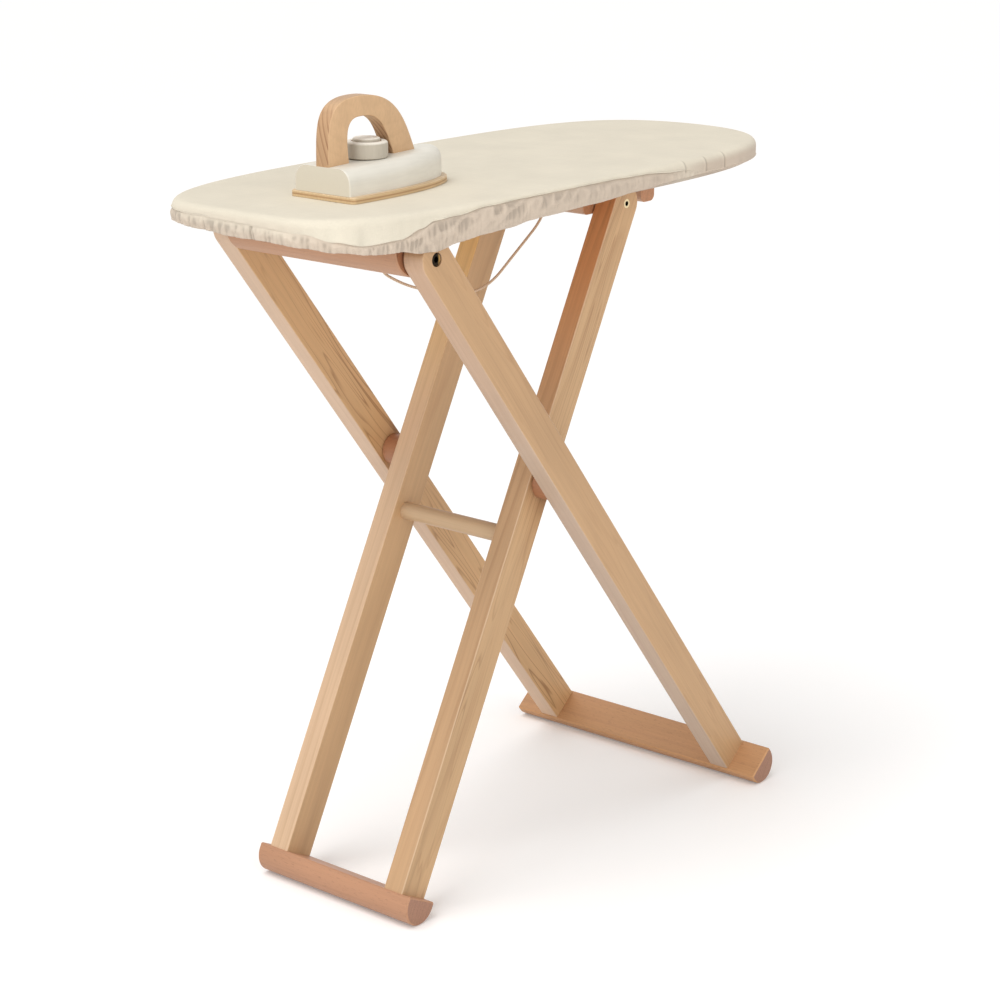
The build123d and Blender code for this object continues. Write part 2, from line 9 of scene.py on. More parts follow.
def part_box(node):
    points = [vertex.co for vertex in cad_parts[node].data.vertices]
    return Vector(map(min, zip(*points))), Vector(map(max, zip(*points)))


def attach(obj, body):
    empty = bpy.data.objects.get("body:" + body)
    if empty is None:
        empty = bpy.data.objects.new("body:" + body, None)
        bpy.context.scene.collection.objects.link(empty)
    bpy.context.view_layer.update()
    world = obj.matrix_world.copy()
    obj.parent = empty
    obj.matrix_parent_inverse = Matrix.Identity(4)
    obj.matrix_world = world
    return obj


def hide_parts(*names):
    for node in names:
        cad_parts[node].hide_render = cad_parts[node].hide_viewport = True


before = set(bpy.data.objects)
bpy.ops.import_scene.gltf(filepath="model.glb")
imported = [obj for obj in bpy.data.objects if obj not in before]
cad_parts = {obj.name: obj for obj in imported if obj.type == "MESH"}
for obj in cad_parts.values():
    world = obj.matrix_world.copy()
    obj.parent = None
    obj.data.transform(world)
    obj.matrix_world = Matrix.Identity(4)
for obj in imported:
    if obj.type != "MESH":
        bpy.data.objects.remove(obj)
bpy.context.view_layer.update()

mm = 0.001

# Camera, fitted to the legs, feet and bolts of the photograph: lens and sensor in millimetres, and
# the rest in metres
camera_place = Vector((-1.38748, -1.14501, 0.81479))
camera_target = Vector((-0.00623, -0.01446, 0.27693))
camera_lens = 86.769
camera_sensor = 36.0
camera_nearest = 0.05
camera_farthest = 50.0

# Light and surroundings, with places and sizes in metres and powers in watts
sky_strength = 0.54
sky_colour = (1.0, 0.99, 0.98, 1.0)
backdrop_strength = 1.0
backdrop_colour = (1.0, 1.0, 1.0, 1.0)
surroundings = ((sky_colour, sky_strength), (backdrop_colour, backdrop_strength))
floor_colour = (0.93, 0.92, 0.913)
floor_lift = 0.125
floor_size = 14.0
sun_direction = Vector((-0.343, 0.121, 0.932))
sun_strength = 1.42
sun_angle = math.radians(38)
left_place = Vector((-2.2, -0.4, 1.2))
left_power = 15.0
left_colour = (0.93, 0.97, 1.0)
right_place = Vector((-0.5, -2.3, 1.1))
right_power = 14.0
right_colour = (1.0, 1.0, 1.0)
softbox_size = 1.8
light_aim = Vector((0.0, 0.0, 0.30))

# Places and sizes taken over from the part
hinge_x = -178 * mm
hinge_z = 502 * mm
outer_leg_angle = math.radians(51.7)
inner_leg_angle = math.radians(62.3)
board_length = 536 * mm
board_width = 218 * mm
panel_top_z = 531.6 * mm
cover_top_z = 536.4 * mm
outline_rear_share = 0.37
outline_corner_share = 0.57
outline_nose_share = 1.08
outline_widest_share = 0.38
outline_rearward_share = 0.16
outline_forward_share = 0.42

# Cover: how finely it is divided, its rim, seam and hem
cover_columns = 1320
outline_steps = 160
cover_reach = 1.9 * mm
rim_radius = 6.0 * mm
rim_rows = 7
top_shares = (0.0, 0.12, 0.26, 0.42, 0.58, 0.72, 0.83, 0.91, 0.96)
top_swell = 0.35 * mm
top_swell_scale = (14, 22)
spine_share = 0.75
spine_end_share = 0.30
seam_lip = 0.5 * mm
seam_depth = 0.8 * mm
seam_height = 1.1 * mm
seam_over_rim = 3.4 * mm
lip_rows = 4
skirt_rows = 12
skirt_bulge = 1.2 * mm
skirt_bulge_skew = 1.15
least_skirt = 0.6 * mm
full_skirt = 14 * mm
hem_roll = 1.3 * mm
hem_roll_shares = ((0.35, -0.5), (1.0, -0.3), (1.25, 1.0))
tuck_start_share = 1.35
tuck_middle_share = 0.55
tuck_rows = 3
tuck_reach = 9.0 * mm
tuck_z = 521.8 * mm
tuck_drop = 1.5 * mm

# Cover: its folds. A stretch says how many times longer a fold is up the cloth than along it, and
# a pair of shares says where along half the outline a form starts and where it is full
near_seed = 3.0
far_seed = 41.0
fold_power = 1.4
gather_period = 3.6 * mm
gather_depth = 1.3 * mm
gather_stretch = 6.0
gather_seed = 11
gather_sharpness = 2.6
gather_dip = 0.4
gather_top_share = 0.4
gather_least_share = 0.4
gather_shares = (0.30, 0.20)
crumple_period = 13.0 * mm
crumple_depth = 1.7 * mm
crumple_stretch = 0.8
crumple_seed = 23
crumple_sharpness = 3.0
crumple_dip = 0.3
crumple_skew = 0.7
crumple_slant = 0.9
crumple_least_share = 0.35
crumple_start_shares = (0.17, 0.22)
crumple_end_shares = (0.55, 0.35)
hem_wave_period = 17.0 * mm
hem_wave = 0.9 * mm
hem_wave_shares = (0.6, 0.3)
hem_wave_seed = (3.0, 7.0)
pucker_period = 13.0 * mm
pucker_depth = 0.55 * mm
pucker_stretch = 6.0
fine_pucker_share = 0.5
fine_pucker_period = pucker_period / 2.3
fine_pucker_stretch = 5.0
fine_pucker_seed = 5

# Cover: how clearly its seam shows, where it has the skirt's colour, which is partly painted shade,
# and where the rim gets painted shade as it rolls down
soft_seam_share = 0.25
near_seam_shares = (0.105, 0.135)
far_seam_shares = (0.06, 0.09)
seam_end_shares = (0.70, 0.60)
rim_shade_roll = 1.2 * rim_radius
nose_tone_shares = (0.60, 0.72)
wide_tone_shares = (0.12, 0.06)
wide_rim_shade = 0.45
wide_skirt_tone = 0.5

# Cover: the seam across its near side, and the nose with its longer reach and three short creases
side_seam_share = 0.0317
side_seam_width = 1.3 * mm
side_seam_depth = 1.2 * mm
nose_reach = 3.6 * mm
nose_reach_shares = (0.80, 1.00)
nose_pucker_shares = (0.650, 0.694, 0.737)
nose_pucker_width = 1.4 * mm
nose_pucker_depth = 0.8 * mm
nose_pucker_lift_share = 0.6
nose_crease_offset = 1.8
half_outline_length = 1.25 * board_length

# Cover: its room beside and over the outer legs' round heads, which turn there
leg_clearance_z = 517.8 * mm
leg_head_reach = 22 * mm
leg_head_blend = 4 * mm
leg_clear_y = 100.8 * mm
skirt_gap = 0.9 * mm

# Cover: the rows of its mesh, counted from the rim, with the seam, with the hem and with the folds'
# end, and the rows between which the creases at the nose start and end
seam_row = rim_rows + lip_rows + 1
hem_row = seam_row + skirt_rows + 1
fold_end_row = hem_row + 2
crease_start_rows = (-2, 3)
crease_end_rows = (hem_row - 4, hem_row - 13)

# Heights in millimetres over the hinge along half the outline, from the middle of the wide end to
# the tip of the nose: the share of the way, the hem and the seam between the top cloth and the skirt
near_skirt_rows = (
    (0.000, 17.8, 26.8),
    (0.050, 17.8, 26.0),
    (0.090, 16.4, 24.6),
    (0.120, 13.2, 19.2),
    (0.150, 10.4, 15.6),
    (0.190, 9.6, 17.4),
    (0.215, 7.4, 23.0),
    (0.232, 7.0, 27.0),
    (0.260, 10.2, 28.2),
    (0.300, 13.0, 31.0),
    (0.400, 16.8, 32.6),
    (0.480, 18.0, 32.4),
    (0.570, 20.8, 31.0),
    (0.640, 22.4, 27.8),
    (0.700, 22.6, 24.4),
    (0.760, 21.6, 22.6),
    (1.000, 20.4, 21.2),
)
far_skirt_rows = (
    (0.000, 17.8, 26.8),
    (0.050, 19.2, 27.6),
    (0.090, 20.6, 28.0),
    (0.150, 15.4, 26.0),
    (0.215, 10.6, 26.8),
    (0.260, 12.4, 29.0),
    (0.340, 15.8, 31.6),
    (0.480, 18.2, 32.0),
    (0.600, 20.2, 30.4),
    (0.700, 21.4, 25.4),
    (0.800, 20.6, 21.8),
    (1.000, 19.2, 20.4),
)

# Pad
pad_columns = 300
pad_inset = 0.8 * mm
pad_edge = 2.4 * mm
pad_edge_steps = 5
pad_top_z = 534.6 * mm

# Drawcord: the route's points in millimetres from the hinge, along the board and up
cord_y = -25 * mm
cord_route = (
    (27.8, 20.6),
    (27.6, 1.0),
    (26.4, -12.5),
    (28.5, -22.6),
    (38.5, -28.6),
    (56.0, -36.8),
    (77.0, -43.5),
    (102.0, -49.5),
    (128.0, -53.5),
    (150.5, -48.5),
    (171.5, -34.5),
    (191.0, -21.8),
    (205.5, -12.0),
    (216.0, 2.0),
    (216.0, 20.6),
)
cord_diameter = 2.0 * mm
cord_round_steps = 5
cord_route_steps = 12
cord_order = 3

# Toy iron's body, with the shape of its outline, and the sole
iron_y = -18 * mm
body_rear_x = -201.5 * mm
body_length = 119.0 * mm
body_width = 57.0 * mm
body_bottom_z = 541.1 * mm
body_top_z = 559.2 * mm
body_rise = 3.6 * mm
body_shoulder = 10.5 * mm
body_edge = 0.7 * mm
body_columns = 90
body_shoulder_rows = 12
body_sharp_angle = math.radians(32)
sole_rear_share = 0.90
sole_side_along_share = 0.58
sole_side_across_share = 1.04
sole_tip_share = 0.60
sole_thickness = 4.5 * mm

# Handle: curves of its outline seen from the side, in millimetres, its thickness and eased edges
handle_outer = (
    ((-201.4, 556.0), (-201.0, 587.0), (-203.0, 604.7), (-168.0, 604.7)),
    ((-168.0, 604.7), (-130.0, 604.7), (-121.5, 584.0), (-109.8, 556.0)),
)
handle_inner = (
    ((-133.0, 556.0), (-143.5, 582.0), (-147.0, 591.2), (-168.0, 590.4)),
    ((-168.0, 590.4), (-184.5, 590.4), (-182.0, 576.0), (-179.6, 556.0)),
)
handle_steps = 28
handle_arris_steps = 4
handle_thickness = 11.8 * mm
handle_arris = 1.0 * mm
handle_sharp_angle = math.radians(50)

# Dial with its painted ring
dial_x = -156.4 * mm
dial_bottom_z = 560.9 * mm
dial_radius = 15.0 * mm
dial_height = 11.4 * mm
dial_edge = 2.0 * mm
dial_foot = 0.5 * mm
dial_boss_radius = 9.6 * mm
dial_boss_height = 2.3 * mm
dial_boss_edge = 1.4 * mm
dial_groove_width = 1.1 * mm
dial_groove_depth = 0.8 * mm
dial_columns = 96
dial_edge_steps = 6
dial_top_z = dial_bottom_z + dial_height
dial_ring_radius = 10.1 * mm
dial_ring_width = 1.0 * mm
dial_ring_depth = 1.2 * mm
dial_sharp_angle = math.radians(35)

# Sockets in the bolts' heads
top_socket_radius = 2.1 * mm
hinge_socket_radius = 2.6 * mm

# Knot in the near inner leg: its place in metres and its radius
leg_knot = ((0.0893, -0.0676, 0.4890), 1.9 * mm)


# Meshes and outlines


# A place on the board's outline: its outward normal, whether it is on the near side, and how far it
# is along its half of the outline from the middle of the wide end, as a share and in metres
Place = namedtuple("Place", "point normal near share along")


def smooth_step(value):
    value = min(max(value, 0.0), 1.0)
    return value * value * (3 - 2 * value)


def ease(value, ends):
    """0 at the first of two ends, 1 at the second, and smooth between them."""
    start, full = ends
    return smooth_step((value - start) / (full - start))


def bezier(start, first, second, end, steps):
    """Points along a cubic curve, without its end."""
    points = []
    for step in range(steps):
        t = step / steps
        s = 1 - t
        points.append(start * s**3 + first * (3 * s * s * t) + second * (3 * s * t * t) + end * t**3)
    return points


def board_half_outline():
    """Points of half the board's outline, from the middle of the wide end to the tip of the nose."""
    half_width = board_width / 2
    rear = -board_length / 2
    corner = Vector((rear, outline_rear_share * half_width))
    corner_pull = Vector((rear, (outline_rear_share + outline_corner_share) * half_width))
    widest_x = rear + outline_widest_share * board_length
    widest = Vector((widest_x, half_width))
    rear_pull = Vector((widest_x - outline_rearward_share * board_length, half_width))
    front_pull = Vector((widest_x + outline_forward_share * board_length, half_width))
    nose_pull = Vector((rear + board_length, outline_nose_share * half_width))
    nose = Vector((rear + board_length, 0.0))
    middle = Vector((rear, 0.0))
    points = [middle.lerp(corner, step / outline_steps) for step in range(outline_steps)]
    points += bezier(corner, corner_pull, rear_pull, widest, outline_steps)
    points += bezier(widest, front_pull, nose_pull, nose, outline_steps)
    return points + [nose]


def evenly(points, count):
    """The same line as count equal steps, and its length."""
    lengths = [0.0]
    for before, after in zip(points, points[1:]):
        lengths.append(lengths[-1] + (after - before).length)
    even = []
    index = 0
    for step in range(count + 1):
        wanted = lengths[-1] * step / count
        while index < len(points) - 2 and lengths[index + 1] < wanted:
            index += 1
        share = (wanted - lengths[index]) / (lengths[index + 1] - lengths[index])
        even.append(points[index].lerp(points[index + 1], share))
    return even, lengths[-1]


def whole_outline(columns):
    """Places at even steps round the board's closed outline."""
    half = columns // 2
    points, half_length = evenly(board_half_outline(), half)
    places = []
    for step in range(columns):
        near = step < half
        index = step if near else columns - step
        point = points[index]
        along = (points[min(index + 1, half)] - points[max(index - 1, 0)]).normalized()
        normal = Vector((-along.y, along.x))
        if index in (0, half):
            normal = Vector((math.copysign(1.0, point.x), 0.0))
        side = Vector((1, -1 if near else 1))
        share = index / half
        places.append(Place(point * side, normal * side, near, share, share * half_length))
    return places


def add_object(name, data):
    """Puts a mesh, curve, light or camera into the scene."""
    item = bpy.data.objects.new(name, data)
    bpy.context.scene.collection.objects.link(item)
    return item


def add_mesh(name, vertices, faces, smooth=True):
    mesh = bpy.data.meshes.new(name)
    mesh.from_pydata(vertices, [], faces)
    mesh.validate()
    mesh.update()
    mesh.polygons.foreach_set("use_smooth", [smooth] * len(mesh.polygons))
    return add_object(name, mesh)


def ring_faces(rows, columns):
    """Faces between closed rows of the same number of points."""
    faces = []
    for row in range(rows - 1):
        for column in range(columns):
            following = (column + 1) % columns
            low = row * columns
            high = low + columns
            faces.append((low + column, high + column, high + following, low + following))
    return faces


def solid_faces(rows, columns):
    """Faces of a closed solid: the sides between its rows, its top and its bottom."""
    faces = [tuple(reversed(face)) for face in ring_faces(rows, columns)]
    last = (rows - 1) * columns
    faces.append(tuple(range(last, last + columns)))
    faces.append(tuple(reversed(range(columns))))
    return faces


def quarter_round(steps):
    """Inset and rise along a quarter circle with a radius of 1, from its side to its top."""
    turns = [math.radians(90) * step / steps for step in range(steps + 1)]
    return [(1 - math.cos(turn), math.sin(turn)) for turn in turns]


def table_height(table, share, column):
    """Smoothly read one column of a table of shares."""
    for before, after in zip(table, table[1:]):
        if share <= after[0]:
            part = (share - before[0]) / (after[0] - before[0])
            return before[column] + (after[column] - before[column]) * smooth_step(part)
    return table[-1][column]


def ripple(along, up, period, stretch, seed):
    """Irregular folds that run up the cloth: quick along the edge and slow up it."""
    return noise.noise(Vector((along / period, up / (period * stretch), seed)))


def ridge(value, sharpness):
    """Turns a noise value into a narrow fold where it passes zero."""
    return max(0.0, 1 - sharpness * abs(value)) ** fold_power


# Cover


def skirt_heights(place):
    """Heights of the hem and the seam."""
    table = near_skirt_rows if place.near else far_skirt_rows
    hem = hinge_z + table_height(table, place.share, 1) * mm
    seam = hinge_z + table_height(table, place.share, 2) * mm
    return hem, seam


def seam_strength(place):
    """How clearly the seam shows: soft at the wide end, sewn sharp along the side, gone at the nose."""
    sharp = ease(place.share, near_seam_shares if place.near else far_seam_shares)
    return (soft_seam_share + (1 - soft_seam_share) * sharp) * ease(place.share, seam_end_shares)


def skirt_colour_and_shade(place, row, height):
    """Share of the skirt's darker colour, which is partly painted shade: all of it under the seam but
    less near the top of the skirt at the wide end, and round the rim and at the nose painted shade that
    grows as the cloth rolls down.
    """
    # Painted shade that grows as the cloth rolls down from the top
    rolled = smooth_step((cover_top_z - height) / rim_shade_roll)
    nose = ease(place.share, nose_tone_shares)
    wide = ease(place.share, wide_tone_shares)
    if row >= seam_row:
        upper = smooth_step((seam_row + skirt_rows - row) / skirt_rows)
        return max(1.0 - nose - wide_skirt_tone * wide * upper, rolled * nose)
    return rolled * max(nose, wide_rim_shade * wide)


def nose_extra(place):
    """Extra reach of the cloth round the nose."""
    return nose_reach * ease(place.share, nose_reach_shares)


def hem_rows(bottom):
    """Reach and height of the rows that roll round the hem and run to the tuck under the board."""
    rows = [(cover_reach - hem_roll * inward, bottom + hem_roll * up) for inward, up in hem_roll_shares]
    start_z = max(bottom + 2 * hem_roll, leg_clearance_z)
    middle_z = max(tuck_z - tuck_drop, leg_clearance_z)
    rows.append((cover_reach - hem_roll * tuck_start_share, start_z))
    rows.append((cover_reach - tuck_middle_share * tuck_reach, middle_z))
    rows.append((cover_reach - tuck_reach, tuck_z))
    return rows


def cover_profile(place):
    """Reach beyond the outline and height of each row under the top, from the rim to the tuck."""
    hem, seam = skirt_heights(place)
    clear = seam_strength(place)
    wave = noise.noise(Vector((place.along / hem_wave_period, *hem_wave_seed)))
    hem += hem_wave * ease(place.share, hem_wave_shares) * wave
    rim_low = cover_top_z - rim_radius
    seam = min(seam, rim_low + seam_over_rim)
    rows = []
    turn_end = math.acos(max(0.0, (max(seam, rim_low) - rim_low) / rim_radius))
    for step in range(1, rim_rows + 1):
        turn = turn_end * step / rim_rows
        reach = cover_reach - rim_radius * (1 - math.sin(turn))
        rows.append((reach, rim_low + rim_radius * math.cos(turn)))
    last_reach, last_z = rows[-1]
    for step in range(1, lip_rows + 1):
        lip = seam_lip * clear * step / lip_rows
        rows.append((last_reach + lip, last_z + (seam + seam_height - last_z) * step / lip_rows))
    rows.append((last_reach + seam_lip * clear, seam + seam_height / 2))
    rows.append((last_reach - seam_depth * clear, seam))
    skirt_top = seam - seam_height / 2
    skirt_height = max(skirt_top - hem, least_skirt)
    slack = smooth_step(skirt_height / full_skirt)
    for step in range(skirt_rows + 1):
        part = step / skirt_rows
        swell = skirt_bulge * slack * math.sin(math.pi * min(part * skirt_bulge_skew, 1.0))
        reach = cover_reach + (last_reach - cover_reach) * (1 - part) ** 2 + swell
        rows.append((reach, skirt_top - skirt_height * part))
    return rows + hem_rows(skirt_top - skirt_height)


def nose_puckers(place):
    """Height of the cloth beside and in the three short creases over the rim at the nose."""
    height = 0.0
    for crease_share in nose_pucker_shares:
        off = (place.share - crease_share) * half_outline_length / nose_pucker_width
        height += nose_pucker_lift_share * math.exp(-off * off)
        height -= math.exp(-((off - nose_crease_offset) ** 2))
    return nose_pucker_depth * height


def skirt_folds(place, down, height, seed):
    """Fine upright gathers and broader slanted crumples of the skirt."""
    gathered = gather_least_share + (1 - gather_least_share) * ease(place.share, gather_shares)
    gathers = ripple(place.along, height, gather_period, gather_stretch, seed + gather_seed)
    gathers = ridge(gathers, gather_sharpness) - gather_dip
    crumpled = ease(place.share, crumple_start_shares) * ease(place.share, crumple_end_shares)
    crumpled = crumple_least_share + (1 - crumple_least_share) * crumpled
    slanted = place.along - crumple_slant * (height - hinge_z)
    crumples = ripple(slanted, height, crumple_period, crumple_stretch, seed + crumple_seed)
    crumples = ridge(crumples, crumple_sharpness) - crumple_dip
    push = gather_depth * gathered * smooth_step(down / gather_top_share) * gathers
    return push + crumple_depth * math.sin(math.pi * down**crumple_skew) * crumpled * crumples


def cover_push(place, row, height):
    """How far the folds push a point of the cover out along its normal."""
    push = 0.0
    seed = near_seed if place.near else far_seed
    if row < seam_row:
        pucker = ripple(place.along, height, pucker_period, pucker_stretch, seed)
        seed += fine_pucker_seed
        fine = ripple(place.along, height, fine_pucker_period, fine_pucker_stretch, seed)
        push += pucker_depth * smooth_step(row / seam_row) * (pucker + fine_pucker_share * fine)
    elif row <= fold_end_row:
        down = min((row - seam_row) / (hem_row - seam_row), 1.0)
        push += skirt_folds(place, down, height, seed)
    if place.near and seam_row < row <= fold_end_row:
        off = (place.along - side_seam_share * board_length) / side_seam_width
        push -= side_seam_depth * math.exp(-off * off)
    if place.near:
        push += ease(row, crease_start_rows) * ease(row, crease_end_rows) * nose_puckers(place)
    return push


def keep_clear(across, along, height, rows_to_hem):
    """Place across the board of the skirt's point, clear of the round head of the leg beside it."""
    from_hinge = math.hypot(along - hinge_x, height - hinge_z)
    held = smooth_step((leg_head_reach - from_hinge) / leg_head_blend)
    clear_y = leg_clear_y + skirt_gap * min(max(rows_to_hem / 2 + 1, 0.0), 1.0)
    return across + math.copysign(held * max(clear_y - abs(across), 0.0), across)


def cover_top_rings(places):
    """Rings of points of the cover's flat top, from its spine to the rim."""
    spine_end = spine_end_share * board_length
    points = []
    for share_in in (*top_shares, 1.0):
        for place in places:
            rim = place.point + place.normal * (cover_reach - rim_radius + nose_extra(place))
            spine = Vector((min(max(place.point.x * spine_share, -spine_end), spine_end), 0.0))
            flat = spine.lerp(rim, share_in)
            swell = noise.noise(Vector((flat.x * top_swell_scale[0], flat.y * top_swell_scale[1], 2.0)))
            points.append((flat.x, flat.y, cover_top_z + top_swell * swell * (1 - share_in**4)))
    return points


def add_cover():
    """Sewn cover: the top cloth rolls over the rim to a seam, and a gathered skirt is tucked under."""
    places = whole_outline(cover_columns)
    profiles = [cover_profile(place) for place in places]
    row_count = len(profiles[0])
    vertices = cover_top_rings(places)
    folds = [0.0] * len(vertices)
    tones = list(folds)
    for row in range(row_count):
        for place, profile in zip(places, profiles):
            reach, height = profile[row]
            push = cover_push(place, row, height)
            spot = place.point + place.normal * (reach + push + nose_extra(place))
            if seam_row < row < row_count - tuck_rows:
                spot.y = keep_clear(spot.y, spot.x, height, hem_row - row)
            vertices.append((spot.x, spot.y, height))
            folds.append(push / gather_depth)
            tones.append(skirt_colour_and_shade(place, row, height))
    cover = add_mesh("cover_cloth", vertices, ring_faces(len(top_shares) + 1 + row_count, cover_columns))
    for name, values in (("fold", folds), ("tone", tones)):
        attribute = cover.data.attributes.new(name, "FLOAT", "POINT")
        attribute.data.foreach_set("value", values)
    cover.data.materials.append(cloth_material())
    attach(cover, "board")
    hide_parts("cover")


# Padding under the cover


def add_pad():
    """Flat soft pad with a rounded upper edge on the panel."""
    places = whole_outline(pad_columns)
    levels = [(-pad_inset, panel_top_z)]
    for inset, rise in quarter_round(pad_edge_steps):
        levels.append((-pad_inset - pad_edge * inset, pad_top_z - pad_edge * (1 - rise)))
    vertices = []
    for reach, height in levels:
        for place in places:
            spot = place.point + place.normal * reach
            vertices.append((spot.x, spot.y, height))
    pad = add_mesh("foam_pad_soft", vertices, solid_faces(len(levels), pad_columns))
    pad.data.materials.append(felt_material())
    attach(pad, "board")
    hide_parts("foam_pad")


# Drawcord


def add_cord():
    """Twisted cotton cord that hangs between its eyelets."""
    data = bpy.data.curves.new("hanging_drawcord", "CURVE")
    data.dimensions = "3D"
    data.bevel_depth = cord_diameter / 2
    data.bevel_resolution = cord_round_steps
    data.resolution_u = cord_route_steps
    data.use_fill_caps = True
    route = [(hinge_x + x * mm, cord_y, hinge_z + z * mm) for x, z in cord_route]
    spline = data.splines.new("NURBS")
    spline.points.add(len(route) - 1)
    for point, place in zip(spline.points, route):
        point.co = (*place, 1.0)
    spline.order_u = cord_order
    spline.use_endpoint_u = True
    data.materials.append(cord_material())
    cord = add_object("hanging_drawcord", data)
    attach(cord, "board")
    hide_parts("drawcord")


# Iron's body


def iron_side(rear_x, length, width):
    """Points of the iron's near side, from the rear corner to the tip."""
    half_width = width / 2
    corner = Vector((rear_x, sole_rear_share * half_width))
    side_pull = Vector((rear_x + sole_side_along_share * length, sole_side_across_share * half_width))
    tip_pull = Vector((rear_x + length, sole_tip_share * half_width))
    tip = Vector((rear_x + length, 0.0))
    points = bezier(corner, side_pull, tip_pull, tip, outline_steps) + [tip]
    even, _ = evenly(points, body_columns)
    return even


def body_section(inset, height, rise=0.0):
    """Closed section of the body, with eased rear corners, that rises to the tip."""
    side = iron_side(body_rear_x, body_length - inset, body_width - 2 * inset)
    side[0] = side[0] + Vector((body_edge, 0.0))
    rear = [Vector((body_rear_x, side[0].y - body_edge)), Vector((body_rear_x, 0.0))]
    half = rear[::-1] + side
    outline = [Vector((p.x, -p.y)) for p in half] + half[-2:0:-1]
    return [(p.x, iron_y + p.y, height + rise * (p.x - body_rear_x) / body_length) for p in outline]


def add_iron_body():
    """Painted body with a flat rear face and smooth broad shoulders."""
    sections = [body_section(0.0, body_bottom_z)]
    shoulder_z = body_top_z - body_shoulder
    for inset, rise in quarter_round(body_shoulder_rows):
        height = shoulder_z + body_shoulder * rise
        sections.append(body_section(body_shoulder * inset, height, body_rise))
    vertices = [place for section in sections for place in section]
    body = add_mesh("iron_painted_body", vertices, solid_faces(len(sections), len(sections[0])))
    body.data.set_sharp_from_angle(angle=body_sharp_angle)
    body.data.materials.append(paint_material())
    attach(body, "iron")
    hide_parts("iron_body")


# Iron's handle and dial


def add_handle():
    """Arched handle with a domed outline, bent arms of one thickness and eased edges."""
    outline = []
    for side in (handle_outer, handle_inner):
        for curve in side:
            points = [Vector(point) * mm for point in curve]
            outline += bezier(*points, handle_steps)
        outline.append(points[-1])
    mesh = bmesh.new()
    corners = [mesh.verts.new((p.x, iron_y - handle_thickness / 2, p.y)) for p in outline]
    face = mesh.faces.new(corners)
    swept = bmesh.ops.extrude_face_region(mesh, geom=[face])
    moved = [item for item in swept["geom"] if isinstance(item, bmesh.types.BMVert)]
    bmesh.ops.translate(mesh, verts=moved, vec=(0.0, handle_thickness, 0.0))
    rims = [edge for edge in mesh.edges if abs(edge.verts[0].co.y - edge.verts[1].co.y) < handle_arris]
    bmesh.ops.bevel(
        mesh, geom=rims, offset=handle_arris, segments=handle_arris_steps, profile=0.5, affect="EDGES"
    )
    bmesh.ops.recalc_face_normals(mesh, faces=mesh.faces)
    data = bpy.data.meshes.new("iron_arched_handle")
    mesh.to_mesh(data)
    mesh.free()
    data.polygons.foreach_set("use_smooth", [True] * len(data.polygons))
    data.set_sharp_from_angle(angle=handle_sharp_angle)
    handle = add_object("iron_arched_handle", data)
    handle.data.materials.append(wood_for("iron_handle", handle_pine, slanting_z, handle_pith))
    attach(handle, "iron")
    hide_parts("iron_handle")


def dial_profile():
    """Radius and height of the dial from the middle of its underside to the middle of its top."""
    profile = [(0.0, 0.0), (dial_radius - dial_foot, 0.0), (dial_radius, dial_foot)]
    for inset, rise in quarter_round(dial_edge_steps):
        profile.append((dial_radius - dial_edge * inset, dial_height - dial_edge + dial_edge * rise))
    groove_outside = dial_boss_radius + dial_groove_width
    floor = dial_height - dial_groove_depth
    profile += [(groove_outside, dial_height), (groove_outside - dial_foot, floor)]
    profile.append((dial_boss_radius, floor))
    boss = dial_height + dial_boss_height - dial_boss_edge
    for inset, rise in quarter_round(dial_edge_steps):
        profile.append((dial_boss_radius - dial_boss_edge * inset, boss + dial_boss_edge * rise))
    return profile + [(0.0, dial_height + dial_boss_height)]


def add_dial():
    """Turned knob: rounded rim, ring groove and raised middle."""
    profile = dial_profile()
    vertices = [(dial_x, iron_y, dial_bottom_z + profile[0][1])]
    for across, height in profile[1:-1]:
        for column in range(dial_columns):
            turn = 2 * math.pi * column / dial_columns
            x = dial_x + across * math.cos(turn)
            y = iron_y + across * math.sin(turn)
            vertices.append((x, y, dial_bottom_z + height))
    vertices.append((dial_x, iron_y, dial_bottom_z + profile[-1][1]))
    rings = len(profile) - 2
    faces = [tuple(index + 1 for index in reversed(face)) for face in ring_faces(rings, dial_columns)]
    last = 1 + (rings - 1) * dial_columns
    for column in range(dial_columns):
        following = (column + 1) % dial_columns
        faces.append((0, 1 + following, 1 + column))
        faces.append((len(vertices) - 1, last + column, last + following))
    dial = add_mesh("iron_turned_dial", vertices, faces)
    dial.data.set_sharp_from_angle(angle=dial_sharp_angle)
    dial.data.materials.append(dial_material())
    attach(dial, "dial")
    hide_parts("iron_dial")


# Materials


# Colours, as shares of red, green and blue light
white = (1.0, 1.0, 1.0)
top_cloth_colour = (0.800, 0.730, 0.592)
# The skirt's colour is partly its own, as one layer of cloth, and partly painted shade
skirt_cloth_and_shade_colour = (0.640, 0.530, 0.422)
felt_colours = ((0.72, 0.69, 0.62), (0.84, 0.82, 0.77))
cord_colours = ((0.58, 0.42, 0.29), (0.70, 0.52, 0.37))
# Painted highlight along the legs' eased corners
edge_highlight_colour = (0.78, 0.57, 0.38)
knot_colour = (0.10, 0.055, 0.03)
paint_colours = ((0.735, 0.700, 0.615), (0.790, 0.755, 0.670))
# Painted shade on the iron's rear face
paint_rear_shade_colour = (0.665, 0.605, 0.490)
# The dial's side in painted shade and its top with a painted highlight
dial_shaded_side_and_lit_top_colours = ((0.53, 0.475, 0.385), (0.96, 0.91, 0.81))
dial_ring_colour = (0.33, 0.14, 0.085)
ply_pale = (0.66, 0.47, 0.26)
ply_brown = (0.47, 0.28, 0.14)
ply_face_colours = ((0.66, 0.49, 0.30), (0.74, 0.57, 0.38))
bolt_brass_colour = (0.86, 0.70, 0.42)
insert_brass_colour = (0.72, 0.56, 0.30)
black_steel_colour = (0.03, 0.02, 0.012)
